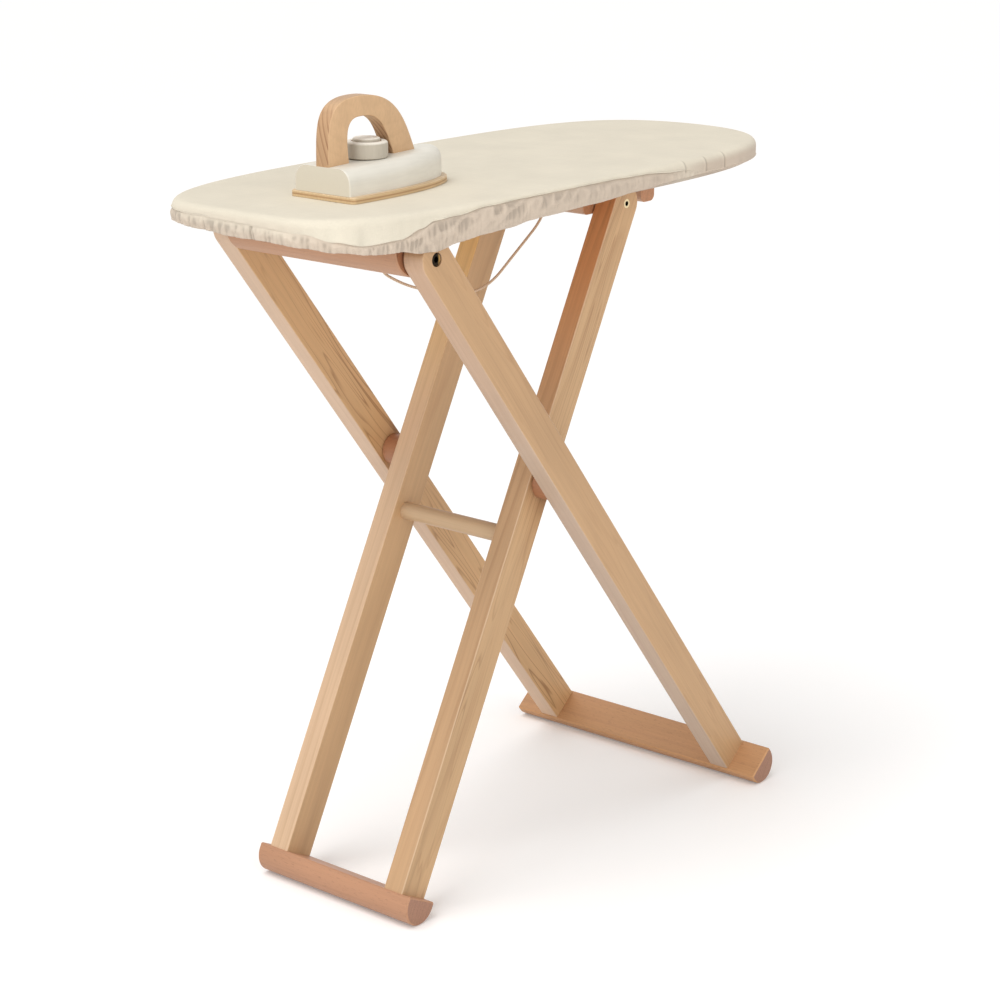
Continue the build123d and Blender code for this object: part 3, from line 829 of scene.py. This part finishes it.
# Painted highlight on the hinge bolts' side toward the nose
painted_highlight_steel_colour = (0.45, 0.27, 0.09)
zinc_colour = (0.62, 0.61, 0.58)
# Painted shade in the bolts' sockets
socket_shade_colour = (0.01, 0.008, 0.006)
nylon_colours = ((0.74, 0.72, 0.66), (0.80, 0.78, 0.73))

# Threads: their spacing, and a wave texture's scale times its spacing
cloth_thread = 0.55 * mm
cord_twist = 1.5 * mm
wave_turn = math.pi / 10

# Heights of the fine structure of each surface
weave_height = 0.05 * mm
felt_height = 0.3 * mm
twist_height = 0.2 * mm
grain_height = 0.08 * mm
dial_grain_height = 0.06 * mm
mark_height = 0.02 * mm

# Painted shade in the folds: brightness of the cloth from the bottom of a fold to its crest
painted_fold_shades = ((0.0, 0.74), (0.35, 0.94), (0.7, 1.0), (1.0, 1.03))


class Material:
    """A node material under construction, with its nodes added by short calls."""

    def __init__(self, name, roughness, specular=0.5, metallic=0.0):
        self.material = bpy.data.materials.new(name)
        self.material.use_nodes = True
        self.nodes = self.material.node_tree.nodes
        self.links = self.material.node_tree.links
        self.nodes.clear()
        surface = {"Roughness": roughness, "Specular IOR Level": specular, "Metallic": metallic}
        self.shader = self.add("BsdfPrincipled", surface)
        self.output = self.add("OutputMaterial", {"Surface": self.shader.outputs["BSDF"]})
        coordinates = self.add("TexCoord")
        self.place = coordinates.outputs["Object"]
        self.normal = coordinates.outputs["Normal"]

    def add(self, kind, inputs=None):
        """A new node with some of its inputs set or linked."""
        node = self.nodes.new("ShaderNode" + kind)
        for name, value in (inputs or {}).items():
            self.put(value, node.inputs[name])
        return node

    def put(self, value, target):
        """Links a socket, or sets a plain value."""
        if isinstance(value, bpy.types.NodeSocket):
            self.links.new(value, target)
        elif isinstance(value, tuple) and len(value) < len(target.default_value):
            target.default_value = (*value, 1.0)
        else:
            target.default_value = value

    def colour(self, value):
        self.put(value, self.shader.inputs["Base Color"])

    def moved(self, source, offset=(0.0, 0.0, 0.0), stretch=(1.0, 1.0, 1.0), turn=(0.0, 0.0, 0.0)):
        """Coordinates that are stretched, turned and then moved."""
        inputs = {"Vector": source, "Location": offset, "Scale": stretch, "Rotation": turn}
        return self.add("Mapping", inputs).outputs["Vector"]

    def noise(self, vector, scale=1.0, detail=3.0, roughness=0.5):
        inputs = {"Vector": vector, "Scale": scale, "Detail": detail, "Roughness": roughness}
        return self.add("TexNoise", inputs).outputs["Fac"]

    def pattern(self, source, stretch, detail, offset=(0.0, 0.0, 0.0), roughness=0.5):
        """Noise that repeats more closely one way than another."""
        return self.noise(self.moved(source, offset, stretch), detail=detail, roughness=roughness)

    def threads(self, vector, period, direction):
        """Parallel threads across one direction, slightly uneven."""
        inputs = {"Vector": vector, "Scale": wave_turn / period, "Distortion": 0.6, "Detail": 2.0}
        node = self.add("TexWave", {**inputs, "Detail Scale": 3.0})
        node.bands_direction = direction
        return node.outputs["Fac"]

    def ramp(self, value, *stops):
        """Maps a value through stops of (position, grey or colour)."""
        node = self.add("ValToRGB", {"Fac": value})
        elements = node.color_ramp.elements
        while len(elements) < len(stops):
            elements.new(0.5)
        for element, (position, shade) in zip(elements, stops):
            element.position = position
            element.color = (*shade, 1.0) if isinstance(shade, tuple) else (shade, shade, shade, 1.0)
        return node.outputs["Color"]

    def mix(self, share, first, second, mode="MIX"):
        """Mixes two colours, through the colour inputs and the colour output of the node."""
        node = self.add("Mix")
        node.data_type = "RGBA"
        node.blend_type = mode
        self.put(share, node.inputs[0])
        self.put(first, node.inputs[6])
        self.put(second, node.inputs[7])
        return node.outputs[2]

    def rise(self, value, low, high, top=1.0):
        """0 up to low, and top from high on."""
        return self.ramp(value, (low, 0.0), (high, top))

    def shaded(self, shade, value, low, high, darkest):
        """Darkens a shade, down to darkest, where a value falls from high to low."""
        return self.mix(1.0, shade, self.ramp(value, (low, darkest), (high, 1.0)), "MULTIPLY")

    def math(self, operation, first, second=0.0, third=0.0):
        node = self.add("Math")
        node.operation = operation
        for value, socket in zip((first, second, third), node.inputs):
            self.put(value, socket)
        return node.outputs[0]

    def times(self, first, second):
        return self.math("MULTIPLY", first, second)

    def parts(self, vector):
        return tuple(self.add("SeparateXYZ", {"Vector": vector}).outputs)

    def length(self, first, second):
        """Length of a flat vector from its two parts."""
        squares = self.math("ADD", self.math("POWER", first, 2.0), self.math("POWER", second, 2.0))
        return self.math("SQRT", squares)

    def attribute(self, name):
        """A value stored with the mesh's points."""
        node = self.add("Attribute")
        node.attribute_name = name
        return node.outputs["Fac"]

    def line(self, value):
        """A value as a place on the X axis, for noise along a line."""
        return self.add("CombineXYZ", {"X": value}).outputs["Vector"]

    def bump(self, height, distance, strength):
        node = self.add("Bump", {"Height": height, "Distance": distance, "Strength": strength})
        self.put(node.outputs["Normal"], self.shader.inputs["Normal"])


def cloth_material():
    """Plain woven cotton: crossed threads, uneven yarn, soft sheen, a darker skirt that is partly
    painted shade, and painted shade round the rolled rim and in the folds.
    """
    cloth = Material("cover_cotton", roughness=0.92, specular=0.2)
    cloth.put(0.10, cloth.shader.inputs["Sheen Weight"])
    cloth.put(0.6, cloth.shader.inputs["Sheen Roughness"])
    threads = [cloth.threads(cloth.place, cloth_thread, direction) for direction in "XYZ"]
    slub_x = cloth.pattern(cloth.place, (60, 900, 900), 2.0)
    slub_y = cloth.pattern(cloth.place, (900, 60, 700), 2.0, (3, 0, 0))
    mottle = cloth.noise(cloth.place, 24.0, detail=4.0)
    # Painted shade: the skirt's darker colour and the rolled rim, by the stored share
    shade = cloth.mix(cloth.attribute("tone"), top_cloth_colour, skirt_cloth_and_shade_colour)
    shade = cloth.shaded(shade, mottle, 0.35, 0.65, 0.95)
    shade = cloth.shaded(shade, cloth.mix(0.5, slub_x, slub_y), 0.3, 0.7, 0.95)
    # Painted shade in the hollows of the folds, from the stored fold depth
    fold = cloth.ramp(cloth.math("ADD", cloth.attribute("fold"), 0.5), *painted_fold_shades)
    cloth.colour(cloth.mix(1.0, shade, fold, "MULTIPLY"))
    weave = cloth.math("ADD", cloth.math("ADD", threads[0], threads[1]), threads[2])
    cloth.bump(weave, weave_height, 0.6)
    return cloth.material


def felt_material():
    """Off-white needled felt."""
    felt = Material("pad_felt", roughness=0.95, specular=0.1)
    fibres = felt.noise(felt.place, 700.0, detail=5.0)
    felt.colour(felt.mix(fibres, *felt_colours))
    felt.bump(fibres, felt_height, 0.6)
    return felt.material


def cord_material():
    """Twisted cotton cord."""
    cord = Material("cord_cotton", roughness=0.9, specular=0.2)
    turned = cord.moved(cord.place, turn=(0.0, math.radians(35), 0.0))
    twist = cord.threads(turned, cord_twist, "X")
    cord.colour(cord.mix(twist, *cord_colours))
    cord.bump(twist, twist_height, 0.6)
    return cord.material


# Woods


# A kind of wood: its early and late wood, the narrow faces and the end grain, the rings' period and
# contrast, how dark its flecks are, and the share of the rings' contrast that the broad faces have
Wood = namedtuple("Wood", "light dark edge end period contrast fleck broad_share", defaults=(0.0, 1.0))

pine_period = 7 * mm
beech_period = 4 * mm
batten_period = 5 * mm
handle_period = 4 * mm
pine_dark = (0.330, 0.160, 0.065)
pine_end = (0.45, 0.25, 0.13)
beech_dark = (0.400, 0.200, 0.105)
beech_end = (0.400, 0.205, 0.130)
handle_light = (0.700, 0.455, 0.255)
handle_dark = (0.250, 0.110, 0.045)
handle_edge = (0.540, 0.330, 0.180)


def pine_kind(light, edge):
    """A pine with broad faces and narrow faces of these colours."""
    return Wood(light, pine_dark, edge, pine_end, pine_period, 0.30)


def beech_kind(light, end, period, fleck, edge=None):
    """A beech, with narrow faces like the broad ones unless edge says otherwise."""
    return Wood(light, beech_dark, edge or light, end, period, 0.25, fleck)


pine = pine_kind((0.615, 0.390, 0.205), (0.675, 0.458, 0.290))
grey_pine = pine_kind((0.600, 0.372, 0.195), (0.580, 0.430, 0.320))
warm_pine = pine_kind((0.630, 0.400, 0.210), (0.570, 0.350, 0.188))
pale_pine = pine_kind((0.690, 0.430, 0.215), (0.690, 0.485, 0.335))
rung_pine = pine_kind((0.600, 0.415, 0.250), (0.600, 0.415, 0.250))
beech = beech_kind((0.505, 0.262, 0.150), beech_end, beech_period, 0.35)
orange_beech = beech_kind((0.620, 0.330, 0.150), beech_end, beech_period, 0.3, (0.560, 0.300, 0.145))
rail_beech = beech_kind((0.520, 0.280, 0.160), (0.39, 0.165, 0.08), batten_period, 0.2)
stop_beech = beech_kind((0.590, 0.375, 0.250), (0.55, 0.27, 0.14), batten_period, 0.2)
# Darker, redder wood for the pegs, as painted shade where they sit between the legs
shaded_peg_beech = beech_kind((0.420, 0.185, 0.090), (0.42, 0.17, 0.08), batten_period, 0.2)
handle_pine = Wood(
    handle_light, handle_dark, handle_edge, handle_edge, handle_period, 0.85, broad_share=0.07
)

# Patterns of wood: how closely each repeats along and across the grain
ring_wave_stretch = (5, 24, 24)
vein_stretch = (4.5, 85, 85)
fade_stretch = (7, 40, 40)
fibre_stretch = (14, 700, 700)
streak_stretch = (4, 80, 80)
cloud_stretch = (6, 14, 14)
fleck_stretch = (220, 1300, 1300)
vein_levels = 9

# Heights in metres between which the upper narrow face of a leg takes on its painted warm shade and
# bounce light from under the board
painted_light_start = 0.33
painted_light_end = 0.46

# Turns that bring each grain direction to X
along_outer = (0.0, math.pi - outer_leg_angle, 0.0)
along_inner = (0.0, inner_leg_angle, 0.0)
along_x = (0.0, 0.0, 0.0)
along_y = (0.0, 0.0, -math.pi / 2)
along_z = (0.0, math.pi / 2, 0.0)
slanting_z = (math.radians(20), math.pi / 2, 0.0)

# Woods of the legs: the kind, the grain, how far in metres the leg's middle is from the pith, across
# the grain, and the leg's own marks, among them its painted warm shade and painted corner highlight
leg_woods = {
    "outer_leg_near": dict(
        kind=grey_pine, turn=along_outer, pith=(0.090, 0.004),
        slope=0.010, contrast=0.13, veins=0.22, painted_light_tint=(1.0, 0.88, 0.77), edge_highlight=0.15,
    ),
    "outer_leg_far": dict(
        kind=pale_pine, turn=along_outer, pith=(0.200, 0.400),
        contrast=0.08, veins=0.85, painted_light_tint=(0.97, 0.97, 0.97), edge_highlight=0.15,
    ),
    "inner_leg_near": dict(
        kind=warm_pine, turn=along_inner, pith=(0.022, 0.010),
        slope=0.040, contrast=0.38, veins=0.60, painted_light_tint=(1.10, 0.80, 0.61), edge_highlight=0.5, knot=leg_knot,
    ),
    "inner_leg_far": dict(
        kind=pine, turn=along_inner, pith=(-0.060, -0.012),
        slope=0.012, contrast=0.22, painted_light_tint=(1.30, 1.22, 0.80), edge_highlight=0.1,
    ),
}

# Woods of the other pieces: the names, the kind, the grain and how far in metres the middle is from
# the pith
other_woods = (
    (("outer_foot",), orange_beech, along_y, (0.050, 0.030)),
    (("inner_foot",), beech, along_y, (0.050, 0.030)),
    (("hinge_rail",), rail_beech, along_y, (0.060, 0.020)),
    (("rear_stop", "middle_stop", "nose_stop", "slot_blocks"), stop_beech, along_y, (0.060, 0.020)),
    (("rung", "top_bar"), rung_pine, along_y, (0.012, 0.018)),
    (("pivot_peg_near", "pivot_peg_far"), shaded_peg_beech, along_y, (0.012, 0.018)),
    (("outer_foot_dowels", "inner_foot_dowels"), beech, along_z, (0.010, 0.020)),
    (("iron_handle_dowels", "iron_dial_pin"), beech, along_z, (0.010, 0.020)),
    (("board_panel",), warm_pine, along_x, (0.02, -0.9)),
)
handle_pith = (0.300, 0.0)


def wood_rings(wood, along, middle, pith, slope, period):
    """Growth rings round a pith beside the piece: 0 in early wood and 1 in late wood."""
    offset = (0.0, pith[0] - middle[1], pith[1] - middle[2])
    _, across, deep = wood.parts(wood.moved(along, offset, turn=(0.0, 0.0, slope)))
    waves = wood.pattern(along, ring_wave_stretch, 1.0, (3.0, 0.0, 0.0))
    radius = wood.math("MULTIPLY_ADD", waves, 1.6 * period, wood.length(across, deep))
    turns = wood.math("DIVIDE", radius, period)
    uneven = wood.noise(wood.line(turns), 0.45, detail=0.0)
    turns = wood.math("MULTIPLY_ADD", uneven, 1.5, turns)
    phase = wood.math("FRACT", turns)
    return wood.ramp(phase, (0.0, 0.0), (0.50, 0.15), (0.86, 1.0), (1.0, 0.0))


def wood_veins(wood, along, narrow):
    """Thin broken veins on the broad faces, long and nested like flames."""
    field = wood.pattern(along, vein_stretch, 1.0, (9.0, 0.0, 0.0))
    steps = wood.math("FRACT", wood.times(field, vein_levels))
    veins = wood.ramp(steps, (0.0, 0.0), (0.72, 0.05), (0.92, 1.0), (1.0, 0.0))
    return wood.times(veins, wood.math("SUBTRACT", 1.0, narrow))


def wood_edge(wood, kind, up, painted_light_tint):
    """Colour of the narrow faces, with painted warm shade and bounce light from under the board on the
    one toward +Z at the upper end.
    """
    if not painted_light_tint:
        return kind.edge
    height = wood.parts(wood.place)[2]
    # Painted warm shade and bounce light from under the board, at the leg's upper end
    painted_lights = wood.ramp(height, (painted_light_start, white), (painted_light_end, painted_light_tint))
    painted_light_edge = wood.mix(1.0, kind.edge, painted_lights, "MULTIPLY")
    return wood.mix(wood.rise(up, 0.0, 0.5), kind.edge, painted_light_edge)


def with_flecks(wood, shade, kind, along):
    """Short dark flecks along the grain."""
    flecks = wood.pattern(along, fleck_stretch, 1.0, (1.0, 4.0, 2.0))
    flecks = wood.rise(flecks, 0.62, 0.70, kind.fleck)
    return wood.mix(flecks, shade, tuple(0.6 * part for part in kind.dark))


def with_knot(wood, shade, place, radius):
    """A dark knot, longer up the piece than along it."""
    offset = tuple(-part / radius for part in place)
    near = wood.moved(wood.place, offset, (1 / radius, 1 / radius, 0.6 / radius))
    x, _, z = wood.parts(near)
    spot = wood.ramp(wood.length(x, z), (0.55, 0.85), (1.0, 0.0))
    return wood.mix(spot, shade, knot_colour)


def wood_ends(wood, kind, rings, fibres):
    """End grain, darker in its rings."""
    darker = tuple(0.75 * part for part in kind.end)
    shade = wood.mix(wood.times(rings, 0.5), kind.end, darker)
    return wood.shaded(shade, fibres, 0.35, 0.60, 0.85)


def wood_material(
    name, kind, turn, middle, pith, slope=0.0, contrast=None, veins=0.0, painted_light_tint=None, edge_highlight=0.0, knot=None
):
    """Planed wood with growth rings, fine fibres, narrow faces of another shade and darker end grain.

    turn rotates the direction of the grain to X. middle is the piece's middle after that turn, and
    pith is how far that is from the rings' middle across the grain. slope tilts the rings along the
    piece, contrast takes the place of the kind's own, and veins is how dark the veins are.
    painted_light_tint is the colour that the narrow face toward +Z is multiplied with at the upper end,
    as painted warm shade and bounce light under the board. edge_highlight is how much paler the corners
    are, as a painted highlight, and knot is a knot's place and radius."""
    wood = Material(name, roughness=0.48, specular=0.35)
    wood.put(0.05, wood.shader.inputs["Coat Weight"])
    wood.put(0.35, wood.shader.inputs["Coat Roughness"])
    along = wood.moved(wood.place, turn=turn)
    face, sideways, up = wood.parts(wood.moved(wood.normal, turn=turn))
    narrow = wood.rise(wood.math("ABSOLUTE", up), 0.45, 0.8)
    rings = wood_rings(wood, along, middle, pith, slope, kind.period)
    fade = wood.pattern(along, fade_stretch, 1.0, (5.0, 0.0, 0.0))
    fade = wood.ramp(fade, (0.35, 0.25), (0.60, 1.0))
    fibres = wood.pattern(along, fibre_stretch, 4.0, roughness=0.6)
    streaks = wood.pattern(along, streak_stretch, 2.0, (7.0, 0.0, 0.0))
    cloud = wood.pattern(along, cloud_stretch, 2.0, (2.0, 0.0, 0.0))
    amount = wood.times(fade, kind.contrast if contrast is None else contrast)
    amount = wood.times(amount, wood.ramp(narrow, (0.0, kind.broad_share), (1.0, 1.0)))
    shade = wood.mix(narrow, kind.light, wood_edge(wood, kind, up, painted_light_tint))
    shade = wood.mix(wood.times(rings, amount), shade, kind.dark)
    if veins:
        lines = wood.times(wood_veins(wood, along, narrow), wood.times(fade, veins))
        shade = wood.mix(lines, shade, kind.dark)
    # Painted highlight where light catches the eased corners
    if edge_highlight:
        corner = wood.math("ABSOLUTE", wood.times(sideways, up))
        shade = wood.mix(wood.rise(corner, 0.22, 0.42, edge_highlight), shade, edge_highlight_colour)
    for pattern, low in ((streaks, 0.30), (fibres, 0.35), (cloud, 0.30)):
        shade = wood.shaded(shade, pattern, low, 0.60, 0.93)
    if kind.fleck:
        shade = with_flecks(wood, shade, kind, along)
    if knot:
        shade = with_knot(wood, shade, *knot)
    facing = wood.rise(wood.math("ABSOLUTE", face), 0.72, 0.93)
    wood.colour(wood.mix(facing, shade, wood_ends(wood, kind, rings, fibres)))
    wood.bump(wood.math("MULTIPLY_ADD", rings, 0.4, fibres), grain_height, 0.5)
    return wood.material


def paint_nodes(material, *names):
    """Gives CAD nodes one material."""
    for name in names:
        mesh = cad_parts[name].data
        mesh.materials.clear()
        mesh.materials.append(material)


def wood_for(name, kind, turn, pith, **marks):
    """A wood of its own for one node, with its rings placed from the node's middle."""
    low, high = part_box(name)
    middle = Euler(turn).to_matrix() @ ((Vector(low) + Vector(high)) / 2)
    return wood_material(name + "_wood", kind, turn, middle, pith, **marks)


def dress_woods():
    """Each piece gets rings of its own, and three of the legs veins too, so that no two look alike."""
    for name, settings in leg_woods.items():
        paint_nodes(wood_for(name, **settings), name)
    for names, kind, turn, pith in other_woods:
        for name in names:
            paint_nodes(wood_for(name, kind, turn, pith), name)


# Paint, plywood, metal and nylon


def paint_material():
    """Off-white water based paint over wood, brushed thin, with painted shade on the rear face."""
    paint = Material("iron_white_paint", roughness=0.5, specular=0.4)
    brush = paint.pattern(paint.place, (25, 420, 420), 3.0)
    cloud = paint.rise(paint.noise(paint.place, 30.0, detail=2.0), 0.3, 0.7)
    shade = paint.shaded(paint.mix(cloud, *paint_colours), brush, 0.3, 0.6, 0.95)
    forward = paint.parts(paint.normal)[0]
    # Painted shade on the rear face, which faces away from the light
    rear = paint.rise(paint.times(forward, -1.0), 0.6, 0.9)
    paint.colour(paint.mix(rear, shade, paint_rear_shade_colour))
    paint.bump(brush, grain_height, 0.5)
    return paint.material


def dial_material():
    """Thinly whitened wood with a faint reddish ring round the raised middle, and a painted highlight
    that makes the top lighter than the side.
    """
    dial = Material("dial_whitened_wood", roughness=0.55, specular=0.35)
    place = dial.moved(dial.place, (-dial_x, -iron_y, -dial_top_z))
    x, y, z = dial.parts(place)
    inside = dial.math("COMPARE", dial.length(x, y), dial_ring_radius, dial_ring_width / 2)
    high = dial.math("GREATER_THAN", z, -dial_ring_depth)
    ring = dial.times(dial.times(inside, high), 0.55)
    fibres = dial.pattern(place, (500, 90, 60), 3.0)
    # Painted highlight on the top, and the side darker as painted shade
    upward = dial.rise(dial.parts(dial.normal)[2], 0.2, 0.9)
    shade = dial.shaded(dial.mix(upward, *dial_shaded_side_and_lit_top_colours), fibres, 0.3, 0.7, 0.92)
    dial.colour(dial.mix(ring, shade, dial_ring_colour))
    dial.bump(fibres, dial_grain_height, 0.5)
    return dial.material


def plywood_material():
    """Birch plywood sole: pale veneers on the face, layers round the edge, and painted shade along the
    top of the edge under the body.
    """
    ply = Material("sole_birch_plywood", roughness=0.5, specular=0.35)
    fibres = ply.pattern(ply.place, (14, 500, 500), 4.0)
    under_body = ply.parts(ply.moved(ply.place, (0.0, 0.0, -body_bottom_z)))[2]
    depth = ply.math("DIVIDE", under_body, -sole_thickness)
    # The brown at the very top of the edge, under the body, is painted shade; the brown lower down is a
    # darker ply
    upper_layers_and_shade = ((0.0, ply_brown), (0.12, ply_pale), (0.38, ply_pale), (0.46, ply_brown))
    lower_layers = ((0.62, ply_brown), (0.70, ply_pale), (0.9, ply_pale))
    layers = ply.ramp(depth, *upper_layers_and_shade, *lower_layers)
    face = ply.mix(ply.rise(fibres, 0.3, 0.7), *ply_face_colours)
    upward = ply.rise(ply.math("ABSOLUTE", ply.parts(ply.normal)[2]), 0.6, 0.8)
    ply.colour(ply.shaded(ply.mix(upward, layers, face), fibres, 0.3, 0.6, 0.88))
    ply.bump(fibres, grain_height, 0.5)
    return ply.material


def metal_material(name, colour, roughness, wear, socket=None, painted_highlight=None):
    """Turned metal with fine marks and a little tarnish.

    A socket round an axis along Y is painted dark, as painted shade. painted_highlight is the colour of
    a painted highlight on the side toward the nose."""
    metal = Material(name, roughness=roughness, metallic=1.0)
    marks = metal.pattern(metal.place, (1500, 300, 1500), 3.0)
    cloud = metal.rise(metal.noise(metal.place, 300.0, detail=2.0), 0.35, 0.65)
    shade = metal.mix(cloud, tuple(wear * part for part in colour), colour)
    if socket:
        axis_x, axis_z, socket_radius = socket
        x, _, z = metal.parts(metal.moved(metal.place, (-axis_x, 0.0, -axis_z)))
        # Painted highlight on the side toward the nose
        if painted_highlight:
            toward = metal.rise(metal.math("DIVIDE", x, 2 * socket_radius), 0.3, 0.7)
            shade = metal.mix(toward, shade, painted_highlight)
        # Painted shade in the socket's hollow
        out = metal.rise(metal.math("DIVIDE", metal.length(x, z), socket_radius), 0.85, 1.0)
        shade = metal.mix(out, socket_shade_colour, shade)
    metal.colour(shade)
    metal.bump(marks, mark_height, 0.4)
    return metal.material


def nylon_material():
    """Off-white washer."""
    nylon = Material("washer_nylon", roughness=0.5, specular=0.4)
    cloud = nylon.noise(nylon.place, 500.0)
    nylon.colour(nylon.mix(cloud, *nylon_colours))
    nylon.bump(cloud, mark_height, 0.5)
    return nylon.material


def dress_metals():
    """Bolts, inserts, screws and washers."""
    low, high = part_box("top_bolt_near")
    top_axis = ((low[0] + high[0]) / 2, (low[2] + high[2]) / 2, top_socket_radius)
    brass = metal_material("bolt_brass", bolt_brass_colour, 0.30, 0.85, top_axis)
    paint_nodes(brass, "top_bolt_near", "top_bolt_far")
    insert = metal_material("insert_brass", insert_brass_colour, 0.36, 0.8)
    paint_nodes(insert, "rail_insert_near", "rail_insert_far", "cord_eyelets")
    hinge_axis = (hinge_x, hinge_z, hinge_socket_radius)
    steel = metal_material(
        "bolt_black_steel", black_steel_colour, 0.5, 0.5, hinge_axis, painted_highlight_steel_colour
    )
    paint_nodes(steel, "hinge_bolt_near", "hinge_bolt_far")
    paint_nodes(metal_material("screw_zinc", zinc_colour, 0.35, 0.8), "board_screws")
    paint_nodes(nylon_material(), "hinge_washers")


# Floor, light and camera


def seen_share(nodes, links):
    """1 where the camera, a reflection or a see-through surface looks at the surroundings."""
    ray = nodes.new("ShaderNodeLightPath")
    total = ray.outputs["Is Camera Ray"]
    for kind in ("Is Glossy Ray", "Is Transmission Ray"):
        add = nodes.new("ShaderNodeMath")
        add.operation = "ADD"
        add.use_clamp = True
        links.new(total, add.inputs[0])
        links.new(ray.outputs[kind], add.inputs[1])
        total = add.outputs[0]
    return total


def add_floor():
    """Pale floor that takes the shadow."""
    half = floor_size / 2
    corners = [(-half, -half, 0.0), (half, -half, 0.0), (half, half, 0.0), (-half, half, 0.0)]
    floor = add_mesh("plain_floor", corners, [(0, 1, 2, 3)], smooth=False)
    pale = Material("floor_pale", roughness=0.9, specular=0.0)
    grain = pale.noise(pale.place, 3.0, detail=1.0)
    pale.colour(pale.mix(grain, floor_colour, tuple(0.995 * part for part in floor_colour)))
    seen = seen_share(pale.nodes, pale.links)
    lift = pale.add("Emission", {"Color": seen, "Strength": floor_lift})
    both = pale.add("AddShader", {0: pale.shader.outputs["BSDF"], 1: lift.outputs["Emission"]})
    pale.put(both.outputs["Shader"], pale.output.inputs["Surface"])
    floor.data.materials.append(pale.material)


def aim(item, direction, axis="-Z"):
    """Turns a light or the camera so that one of its axes points in a direction."""
    item.rotation_mode = "QUATERNION"
    item.rotation_quaternion = direction.to_track_quat(axis, "Y")


def add_sun():
    """Broad overhead light, as from a large diffuser."""
    data = bpy.data.lights.new("overhead_light", "SUN")
    data.energy = sun_strength
    data.angle = sun_angle
    aim(add_object("overhead_light", data), sun_direction, "Z")


def add_softbox(name, place, power, colour):
    """Large square light aimed at the object."""
    data = bpy.data.lights.new(name, "AREA")
    data.shape = "SQUARE"
    data.size = softbox_size
    data.energy = power
    data.color = colour
    light = add_object(name, data)
    light.location = place
    aim(light, light_aim - place)


def add_sky():
    """Even light from all round, and a white backdrop where the camera sees it."""
    world = bpy.data.worlds.new("soft_surroundings")
    bpy.context.scene.world = world
    world.use_nodes = True
    nodes = world.node_tree.nodes
    links = world.node_tree.links
    nodes.clear()
    choose = nodes.new("ShaderNodeMixShader")
    links.new(seen_share(nodes, links), choose.inputs["Fac"])
    for index, (colour, strength) in enumerate(surroundings):
        background = nodes.new("ShaderNodeBackground")
        background.inputs["Color"].default_value = colour
        background.inputs["Strength"].default_value = strength
        links.new(background.outputs["Background"], choose.inputs[index + 1])
    output = nodes.new("ShaderNodeOutputWorld")
    links.new(choose.outputs["Shader"], output.inputs["Surface"])


def add_camera():
    data = bpy.data.cameras.new("photo_camera")
    data.lens = camera_lens
    data.sensor_width = camera_sensor
    data.clip_start = camera_nearest
    data.clip_end = camera_farthest
    camera = add_object("photo_camera", data)
    camera.location = camera_place
    aim(camera, camera_target - camera_place)
    bpy.context.scene.camera = camera


add_camera()
add_cord()
add_pad()
add_cover()
add_iron_body()
add_handle()
add_dial()
dress_woods()
dress_metals()
paint_nodes(plywood_material(), "iron_soleplate")
add_floor()
add_sun()
add_softbox("left_softbox", left_place, left_power, left_colour)
add_softbox("right_softbox", right_place, right_power, right_colour)
add_sky()
bpy.context.scene.view_settings.view_transform = "Standard"
